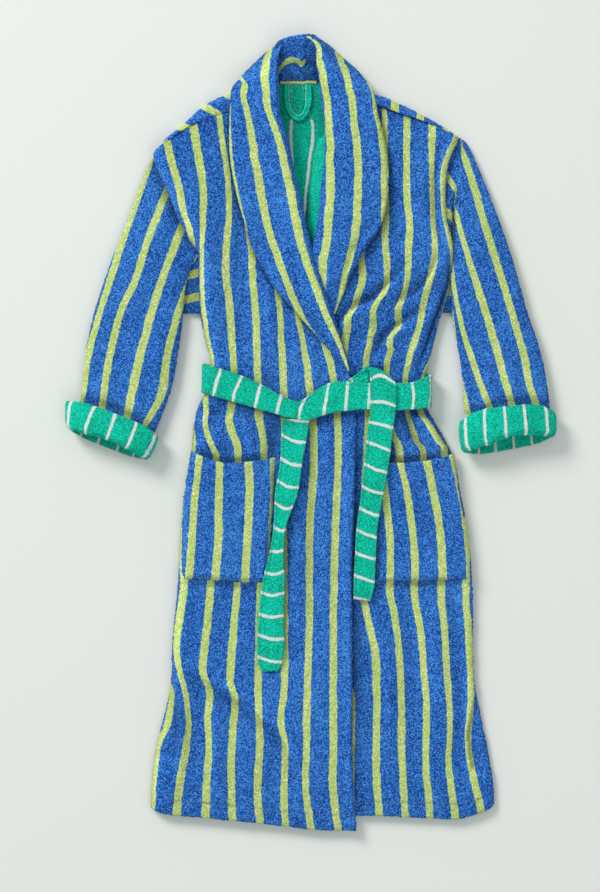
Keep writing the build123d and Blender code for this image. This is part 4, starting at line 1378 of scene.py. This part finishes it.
def make_belt(green):
    """The belt, tied in front. Its runs and ends are pieces of their own."""
    pair = [green, green]
    make_belt_right_run(pair)
    make_belt_left_run(pair)
    make_belt_wrap(pair)
    make_belt_end_left(pair)
    make_belt_end_right(pair)
    make_belt_back_run(pair)


# ---------------------------------------------------------------- pockets
def make_pocket(name, node, top, left, right, bottom, height, stripes, materials, seed,
                wrap_left=0.0, wrap_right=0.0):
    """A patch pocket: its top edge stands a little open, its other edges are stitched down. A
    side can turn down with the front's side, over the width wrap_left or wrap_right."""
    seam_in = 4.2                        # from an edge to its stitches
    seam_out = 9.0                       # the same at a side that turns down, in columns
    depth, base = 200, 8.0
    edges = [e if e[0][1] < e[-1][1] else e[::-1] for e in (left, right)]
    x, y, _, u = panel_plan(edges[0], edges[1], bottom, top, POCKET_SPACING)
    rows = np.linspace(0, 1, x.shape[0])[:, None]
    width = x[:, -1:] - x[:, :1]
    far = np.ones(u.shape)
    from_side = np.minimum(far if wrap_left else u, far if wrap_right else 1 - u) * width
    down = rows * depth
    pad = 6.2 * smoothstep(from_side, 0, 9) * smoothstep(down, 0, 9)
    gape = 3.4 * smoothstep(rows, 0.72, 1.0) * np.sin(np.pi * np.clip(u, 0.02, 0.98)) ** 0.7
    z = height(x, y) + pad * 0.75 + gape + 1.4
    z = z - 0.8 * np.exp(-((from_side - seam_in) / 1.2) ** 2) * (down > 4)
    z = z - 0.8 * np.exp(-((down - seam_in) / 1.2) ** 2)
    z = z + 0.6 * noise2(x, y, 24, seed) - 1.6 * np.exp(-((1 - rows) * depth / 2.0) ** 2)
    for wrap, share in ((wrap_left, u), (wrap_right, 1 - u)):
        if wrap:
            turn = np.sqrt(np.clip(1 - (1 - np.clip(share * width / wrap, 0, 1)) ** 2, 0, 1))
            z = base + (z - base) * turn
    grid = np.stack([x, y, z], axis=-1)
    shade = painted_crease_shade(grid, 0.05, 10)
    piece = cloth(name, grid, stripe_count(stripes, x, y, OUT_PITCH), materials, thickness=3.4,
                  seed=seed, shade=shade)
    declare(piece, "root", node)
    low_row, high_row = seam_in / POCKET_SPACING, x.shape[0] - 2
    first_column = seam_out if wrap_left else low_row
    last_column = x.shape[1] - 1 - (seam_out if wrap_right else low_row)
    down_left = [(first_column, r) for r in np.linspace(high_row, low_row, 60)]
    along = [(c, low_row) for c in np.linspace(first_column, last_column, 60)]
    up_right = [(last_column, r) for r in np.linspace(low_row, high_row, 60)]
    sew(f"{name}_stitches", "root", grid, down_left + along[1:] + up_right[1:], materials[0])


def make_pockets(materials):
    """The two patch pockets, sewn to the fronts."""
    make_pocket("right_pocket_cloth", "right_pocket",
                [(-195, -28), (-182, -34), (-150, -46), (-120, -47), (-90, -44), (-56, -38)],
                [(-211, -237), (-212, -195), (-209, -120), (-203, -70), (-195, -28)],
                [(-68, -242), (-66, -200), (-61, -130), (-56, -38)],
                [(-211, -237), (-150, -240), (-100, -243), (-68, -242)], over_height,
                [[(-178, -30), (-180, -46), (-188, -120), (-197, -230)],
                 [(-148, -45), (-150, -110), (-150, -170), (-155, -240)],
                 [(-100, -45), (-97, -100), (-101, -170), (-106, -240)],
                 [(-60, -38), (-59, -80), (-62, -150), (-64, -242)]],
                materials, 16, wrap_left=12.0)
    make_pocket("left_pocket_cloth", "left_pocket",
                [(108, -46), (150, -47), (190, -44), (215, -38), (236, -32)],
                [(106, -243), (106, -140), (108, -46)],
                [(263, -238), (260, -190), (254, -143), (245, -96), (236, -32)],
                [(106, -243), (180, -241), (230, -239), (263, -238)], under_height,
                [[(116, -46), (121, -80), (128, -140), (131, -180), (131, -243)],
                 [(146, -46), (158, -100), (165, -150), (170, -200), (171, -243)],
                 [(190, -45), (202, -100), (212, -160), (216, -240)],
                 [(232, -33), (243, -80), (252, -130), (258, -180), (262, -236)]],
                materials, 17, wrap_right=12.0)


# ---------------------------------------------------------------- sleeves and cuffs
RIGHT_SLEEVE_STRIPES = [
    [(-262, 445), (-300, 330), (-335, 220), (-360, 130), (-369, 70), (-374, 55)],
    [(-232, 402), (-263, 320), (-285, 250), (-305, 210), (-320, 160), (-332, 100), (-338, 50)],
    [(-208, 340), (-245, 240), (-270, 150), (-280, 110), (-288, 80), (-297, 30)],
    [(-190, 262), (-214, 200), (-230, 140), (-236, 100), (-243, 60), (-266, 20)],
]
LEFT_CAP_CREASE = [(240, 412), (238, 393), (235, 376), (234, 342), (233, 302), (232, 262)]
LEFT_SLEEVE_STRIPES = [
    [(218, 300), (232, 200), (240, 130), (247, 80), (256, 36)],
    [(226, 330), (233, 235), (246, 170), (262, 120), (275, 85), (291, 45)],
    [(222, 415), (227, 380), (236, 357), (244, 328), (254, 297), (263, 268), (295, 170), (317, 90),
     (327, 52)],
    [(245, 466), (255, 441), (269, 398), (280, 356), (297, 300), (310, 258), (345, 140), (356, 85),
     (366, 52)],
]


def superellipse(columns, power):
    """Points round a flattened ring: their angles, and how far across and how high they are."""
    around = np.linspace(0, 2 * np.pi, columns, endpoint=False)
    c, s = np.cos(around), np.sin(around)
    flat_c = np.sign(c) * np.abs(c) ** (2 / power)
    flat_s = np.sign(s) * np.abs(s) ** (2 / power)
    return around, flat_c, flat_s


def tube_grid(outer, inner, rows, columns, low, high, power, relief):
    """A flattened tube between an outer and an inner edge. low and high give the height of its
    underside and its top along it. The first column is at the inner edge."""
    a, b = smooth(outer, rows), smooth(inner, rows)
    t = np.linspace(0, 1, rows)
    _, flat_c, flat_s = superellipse(columns, power)
    middle, half = (a + b) / 2, (b - a) / 2
    zl, zh = np.interp(t, *low), np.interp(t, *high)
    grid = np.zeros((rows, columns, 3))
    grid[..., :2] = middle[:, None, :] + half[:, None, :] * flat_c[None, :, None]
    grid[..., 2] = ((zl + zh) / 2)[:, None] + ((zh - zl) / 2)[:, None] * flat_s[None, :]
    top = np.clip(flat_s, 0, 1)[None, :]
    grid[..., 2] += top * relief(grid[..., 0], grid[..., 1])
    return grid, flat_c, flat_s


def carried_on(grid, flat_c, flat_s, mouth, tilt):
    """A sleeve's tube with more rows, from its end to just inside the fold at its cuff's mouth."""
    rows = 10
    a, b = np.array(mouth, float)
    forward = (a + b) / 2 - grid[-1, :, :2].mean(axis=0)
    forward = forward / np.linalg.norm(forward)
    plan = (a + b) / 2 + (b - a) / 2 * flat_c[:, None] - tilt * flat_s[:, None] * forward
    middle, half = (CUFF_TOP - 1.5) / 2, (CUFF_TOP - 3.5) / 2 - MOUTH_INSET
    end = np.column_stack([plan, middle + half * flat_s])
    share = smoothstep(np.linspace(0, 1, rows + 1)[1:], 0, 1)[:, None, None]
    return np.concatenate([grid, grid[-1] + (end - grid[-1]) * share])


def armhole_bits(x, y, stripe):
    """Stripes of the left sleeve's cap, which slant in the narrow band beside the armhole."""
    band = np.interp(y, [262, 302, 342, 376, 393, 415, 440], [232, 233, 234, 235, 239, 244, 246])
    slant = 0.9 + 0.84 * np.clip((y - 354) / 57, 0, 1)
    bits = 1 + np.clip((y + slant * (x - 230) - 354) / 57, -0.5, 1.5)
    return np.where((x < band) & (y > 262), bits, stripe)


def make_sleeve(name, node, outer, inner, mouth, tilt, stripes,
                folds_table, painted_shadows, materials, seed, cap=None):
    """One sleeve, from inside the armhole to inside the cuff, bending at the armhole fold.
    cap changes the stripes beside the armhole."""
    def relief(x, y):
        """Folds and lumps of the sleeve's top."""
        uneven = 0.9 * noise2(x, y, 40, seed)
        return folds(x, y, folds_table) + uneven + 0.5 * noise2(x, y, 15, seed)

    top = SLEEVE_TOP
    underside = ([0, 0.08, 1], [5.0, 0.6, 0.6])
    crown = ([0, 0.06, 0.16, 0.34, 0.85, 0.93, 1],
             [10, 11, 15.5, top - 1.5, top - 1, top + 1, top + 1])
    grid, flat_c, flat_s = tube_grid(outer, inner, 150, 96, underside, crown, 2.7, relief)
    grid = carried_on(grid, flat_c, flat_s, mouth, tilt)
    x, y = grid[..., 0], grid[..., 1]
    stripe = stripe_count(stripes, x, y, OUT_PITCH)
    if cap:
        stripe = cap(x, y, stripe)
    under = flat_s < 0
    stripe[:, under] = stripe[:, under] + 0.35
    if not facing(grid[:, :grid.shape[1] // 2], UP):
        grid, stripe = grid[:, ::-1], stripe[:, ::-1]
    # painted shadow beside the body's fold at the armhole, in the cap's crease and next to the cuff
    shade = painted_contact_shade(grid[..., 0], grid[..., 1], painted_shadows)
    piece = cloth(name, grid, stripe, materials, wrap=True, seed=seed, shade=shade,
                  turned_rows=24)
    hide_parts(node)
    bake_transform(piece)


# Across the wall of a cuff's ring: share of the way from the free edge to the mouth, and inset.
CUFF_WALL = smooth([(0.06, 9.0), (0.0, 8.2), (-0.015, 5.8), (0.0, 3.4), (0.05, 1.5), (0.13, 0.9),
                    (0.22, -0.2), (0.5, -1.0), (0.75, -0.6), (0.88, 0.7), (0.97, 3.2), (1.0, 5.6),
                    (0.985, 7.8), (0.93, 9.0), (0.7, 8.9), (0.4, 9.0), (0.15, 9.2), (0.06, 9.0)],
                   64)[:-1]


def cuff_stripe(marks, share, across, upper):
    """Stripe count round one ring of a cuff. marks has each stripe's place across the cuff, at
    its free edge and at its mouth."""
    table = np.array(marks, float)
    at = table[:, 0] + (table[:, 1] - table[:, 0]) * np.clip(share, 0, 1)
    step = (at[-1] - at[0]) / (len(marks) - 1)
    at = np.concatenate([[at[0] - step], at, [at[-1] + step]])
    count = np.interp(across, at, np.arange(len(at)))
    return np.where(upper, count, count + 0.45)


def ring_quads(rows, columns):
    """Faces of a ring whose wall is closed as well."""
    index = np.arange(rows * columns).reshape(rows, columns)
    a, b = index, np.roll(index, -1, axis=1)
    d, e = np.roll(index, -1, axis=0), np.roll(np.roll(index, -1, axis=0), -1, axis=1)
    return np.stack([a, b, e, d], axis=-1).reshape(-1, 4)


def cuff_grid(ends, arch, ripple, marks, columns, seed):
    """Points and stripe count of a cuff between the ends of its free edge and of its mouth."""
    around, flat_c, flat_s = superellipse(columns, 2.9)
    c, s = np.cos(around), np.sin(around)
    free_outer, free_inner, mouth_outer, mouth_inner = [np.array(p, float) for p in ends]
    grid = np.zeros((len(CUFF_WALL), columns, 3))
    stripe = np.zeros((len(CUFF_WALL), columns))
    low, high = 1.0, CUFF_TOP - 2.5
    zc, zr = (low + high) / 2, (high - low) / 2
    along = (mouth_outer + mouth_inner - free_outer - free_inner) / 2
    wave = (np.sin(4.3 * c + seed) + 0.5 * np.sin(9.1 * c + 2)) * np.clip(s, 0, 1)
    for i, (share, inset) in enumerate(CUFF_WALL):
        a = free_outer + (mouth_outer - free_outer) * share
        b = free_inner + (mouth_inner - free_inner) * share
        middle, half = (a + b) / 2, (b - a) / 2
        plan = middle + half * (1 - inset / np.linalg.norm(half)) * flat_c[:, None]
        bow = (arch[0] * (1 - share) + arch[1] * share) * flat_s * (1 - c ** 4)
        bow = bow + share * ripple * wave
        grid[i, :, :2] = plan - bow[:, None] * along / np.linalg.norm(along)
        grid[i, :, 2] = zc + (zr - inset) * flat_s * (0.94 + 0.06 * np.cos(3 * around + seed))
        stripe[i] = cuff_stripe(marks, share, flat_c * 0.5 + 0.5, s >= 0)
    x, y = grid[..., 0], grid[..., 1]
    grid[..., 2] += np.clip(flat_s, 0, 1)[None, :] * (1.2 * noise2(x, y, 34, seed)
                                                       + 0.7 * noise2(x, y, 14, seed))
    grid[..., 2] = np.maximum(grid[..., 2], 0.5)
    return grid, stripe


def make_cuff(name, node, ends, arch, ripple, marks, green, seed):
    """A turned-back cuff: a ring of doubled cloth, folded at its mouth."""
    columns = 108
    grid, stripe = cuff_grid(ends, arch, ripple, marks, columns, seed)
    rng = np.random.default_rng(seed)
    normal = grid_normals(np.concatenate([grid, grid[:1]]), True)[:-1]
    centre = grid.mean(axis=(0, 1))
    outward = (normal[20] * (grid[20] - centre)).sum() > 0
    grid = grid + normal * rng.normal(0, 0.4, grid.shape[:2] + (1,))
    quads = ring_quads(len(CUFF_WALL), columns)
    quads = quads if outward else quads[:, ::-1]
    shade = np.ones(stripe.shape)
    # painted shade on the inner layer, inside the ring
    shade[CUFF_WALL[:, 1] > 6.0] = 0.8                # the inner layer
    piece = mesh_object(name, grid.reshape(-1, 3), quads, np.zeros(len(quads), np.int32), [green],
                        {"stripe": stripe.ravel(), "shade": shade.ravel()},
                        grid.reshape(-1, 3) + seed * REST_STEP)
    declare(piece, node.replace("cuff", "sleeve"), node)


def make_sleeves(materials):
    """The two sleeves, which lie beside the body."""
    make_sleeve("right_sleeve_cloth", "right_sleeve",
                [(-238, 462), (-264, 439), (-299, 345), (-329, 269), (-352, 198), (-364, 145),
                 (-370, 98), (-373, 62), (-380, 35)],
                [(-158, 322), (-176, 300), (-198, 262), (-206, 220), (-209, 180), (-216, 130),
                 (-225, 80), (-238, 40), (-258, -8)], [(-390, 12), (-268, -36)], 5,
                RIGHT_SLEEVE_STRIPES,
                [([(-222, 390), (-250, 330), (-280, 260)], 3.0, 16, 14),
                 ([(-250, 430), (-290, 340), (-326, 240)], -2.4, 14, 14),
                 ([(-330, 110), (-337, 80), (-338, 46)], 4.5, 6, 14),
                 ([(-355, 110), (-354, 80), (-352, 50)], -4.0, 9, 9),
                 ([(-262, 110), (-262, 70), (-276, 34)], -4.0, 10, 8),
                 ([(-236, 200), (-248, 120), (-252, 70)], 2.6, 12, 12),
                 ([(-300, 190), (-310, 110), (-312, 50)], -2.4, 12, 12)],
                # painted shadow beside the front's armhole fold and next to the cuff
                [([(-262, 462), (-250, 430), (-236, 396), (-220, 358), (-203, 325), (-186, 290)],
                  0.55, 11, 20),
                 ([(-402, 60), (-360, 56), (-322, 46), (-280, 24), (-245, 2)], 0.5, 8, 8)],
                materials, 18)
    make_sleeve("left_sleeve_cloth", "left_sleeve",
                [(212, 484), (234, 485), (250, 480), (261, 465), (274, 435), (288, 401),
                 (314, 333), (335, 269), (355, 198), (373, 145), (384, 98), (390, 57), (392, 30)],
                [(194, 440), (197, 395), (206, 345), (218, 305), (228, 268), (231, 227),
                 (235, 175), (244, 128), (249, 87), (252, 45), (256, 2)], [(393, 1), (254, -23)], 8,
                LEFT_SLEEVE_STRIPES,
                [(LEFT_CAP_CREASE, -5.0, 4, 3),
                 ([(236, 430), (262, 360), (286, 280)], 3.0, 16, 14),
                 ([(270, 430), (300, 340), (330, 230)], -2.4, 14, 14),
                 ([(254, 130), (268, 90), (276, 44)], -3.5, 8, 8),
                 ([(300, 120), (306, 80), (310, 48)], -3.5, 9, 10),
                 ([(340, 130), (346, 90), (350, 50)], -3.5, 9, 9),
                 ([(372, 110), (378, 80), (380, 50)], 2.5, 7, 7),
                 ([(330, 140), (334, 90), (336, 50)], 2.5, 8, 8)],
                # painted shadow in the cap's crease, beside the front's armhole edge and next to the
                # cuff
                [(LEFT_CAP_CREASE, 0.85, 4, 2.6),
                 ([(246, 486), (231, 450), (225, 415), (223, 385), (226, 350), (232, 325),
                   (236, 290)], 0.4, 3, 4),
                 ([(238, 24), (270, 42), (316, 53), (350, 56), (390, 51), (402, 42)], 0.5, 8, 8)],
                materials, 19, armhole_bits)


def make_cuffs(green):
    """The turned-back ends of the sleeves, which ride with them."""
    for name, node, ends, arch, ripple, marks, seed in (
            ("right_cuff_cloth", "right_cuff",
             ((-399, 54), (-245, -4), (-397, 8), (-263, -44)), (8, 5), 1.5,
             [(0.06, 0.02), (0.31, 0.22), (0.53, 0.49), (0.76, 0.73), (0.97, 0.95)], 20),
            ("left_cuff_cloth", "left_cuff",
             ((400, 37), (242, 20), (401, -4), (247, -32)), (15, 8), 3.0,
             [(0.10, 0.10), (0.33, 0.32), (0.53, 0.53), (0.74, 0.75), (0.94, 0.94)], 21)):
        make_cuff(name, node, ends, arch, ripple, marks, green, seed)


def make_gussets(materials):
    """The cloth of the armholes, seen in the gaps between the body and the sleeves."""
    for name, left, right, stripes, seed in (
            ("right_gusset_cloth",
             [(-214, 196), (-214, 240), (-214, 300), (-206, 350)],
             [(-172, 196), (-172, 240), (-176, 300), (-190, 350)],
             [[(160, -214), (162, -172)], [(218, -214), (228, -172)], [(252, -214), (266, -172)],
              [(310, -214), (314, -172)]], 26),
            ("left_gusset_cloth",
             [(206, 197), (212, 240), (212, 300), (200, 345)],
             [(238, 197), (240, 240), (236, 300), (228, 345)],
             [[(182, 200), (178, 240)], [(240, 200), (230, 240)], [(300, 200), (292, 240)],
              [(362, 200), (344, 240)]], 27)):
        x, y, _, _ = panel_plan(left, right, None, None, PANEL_SPACING)
        z = 8.4 + 0.8 * noise2(x, y, 16, seed)
        count = stripe_count(stripes, y, x, OUT_PITCH)
        # painted shade: the armholes' cloth lies in shadow in the gaps between the body and the
        # sleeves
        piece = cloth(name, np.stack([x, y, z], axis=-1), count, materials, thickness=3.0,
                      seed=seed, shade=np.full(x.shape, 0.62))
        declare(piece, "root")


def make_hanger_loop(green):
    """A folded strip sewn into the neck seam, hanging as a U."""
    outer = [(-42, 571, 8.6), (-43, 555, 8.8), (-41, 535, 9), (-32, 517, 9), (-20, 510, 9),
             (-8, 515, 9), (1, 532, 9), (4, 550, 8.8), (2, 571, 8.6)]
    inner = [(-33, 571, 8.6), (-33, 555, 8.8), (-32, 540, 9), (-27, 527, 9), (-19, 521.5, 9),
             (-12, 526, 9), (-8, 538, 9), (-8, 552, 8.8), (-8, 571, 8.6)]
    columns = 13
    grid = ruled(outer, inner, 110, columns)
    u = np.linspace(0, 1, columns)
    grid[..., 2] += (1.1 * np.sin(np.pi * u) ** 0.5 - 1.5 * np.exp(-((u - 0.5) / 0.09) ** 2))[None]
    white = np.broadcast_to(np.exp(-((u - 0.9) / 0.09) ** 2), grid.shape[:2])
    grid, white = turned_to(UP, grid, white)
    piece = cloth("hanger_loop_cloth", grid, 0.5 - 0.5 * white, [green, green], thickness=2.8,
                  seed=22, pile=0.2)
    declare(piece, "hanger_loop", "hanger_loop")


def make_loops(materials):
    """Two loops on the back that hold the belt."""
    for i, (x, y) in enumerate(((-140, 88), (160, 70))):
        path = smooth([(y - 31, 5.4), (y - 30.5, 2.6), (y - 28, 1.2), (y - 20, 0.75), (y + 20, 0.75),
                       (y + 28, 1.2), (y + 30.5, 2.6), (y + 31, 5.4)], 70)
        across = np.linspace(0, 12, 7)
        grid = np.zeros((len(path), len(across), 3))
        grid[..., 0] = x + across
        grid[..., 1], grid[..., 2] = path[:, :1], path[:, 1:]
        grid = turned_to(DOWN, grid)
        piece = cloth(f"belt_loop_cloth_{i + 1}", grid, grid[..., 1] / OUT_PITCH, materials,
                      thickness=1.1, seed=23 + i, pile=0.1)
        declare(piece, "root", None if i else "belt_loops")


make_camera()
make_studio()
make_floor()
BLUE, GREEN, TAPE = make_materials()
make_back([BLUE, GREEN])
make_fronts([BLUE, GREEN])
make_collar([BLUE, BLUE])
make_neck(BLUE, GREEN, TAPE)
make_pockets([BLUE, GREEN])
make_belt(GREEN)
make_sleeves([BLUE, GREEN])
make_cuffs(GREEN)
make_gussets([BLUE, GREEN])
make_hanger_loop(GREEN)
make_loops([BLUE, BLUE])
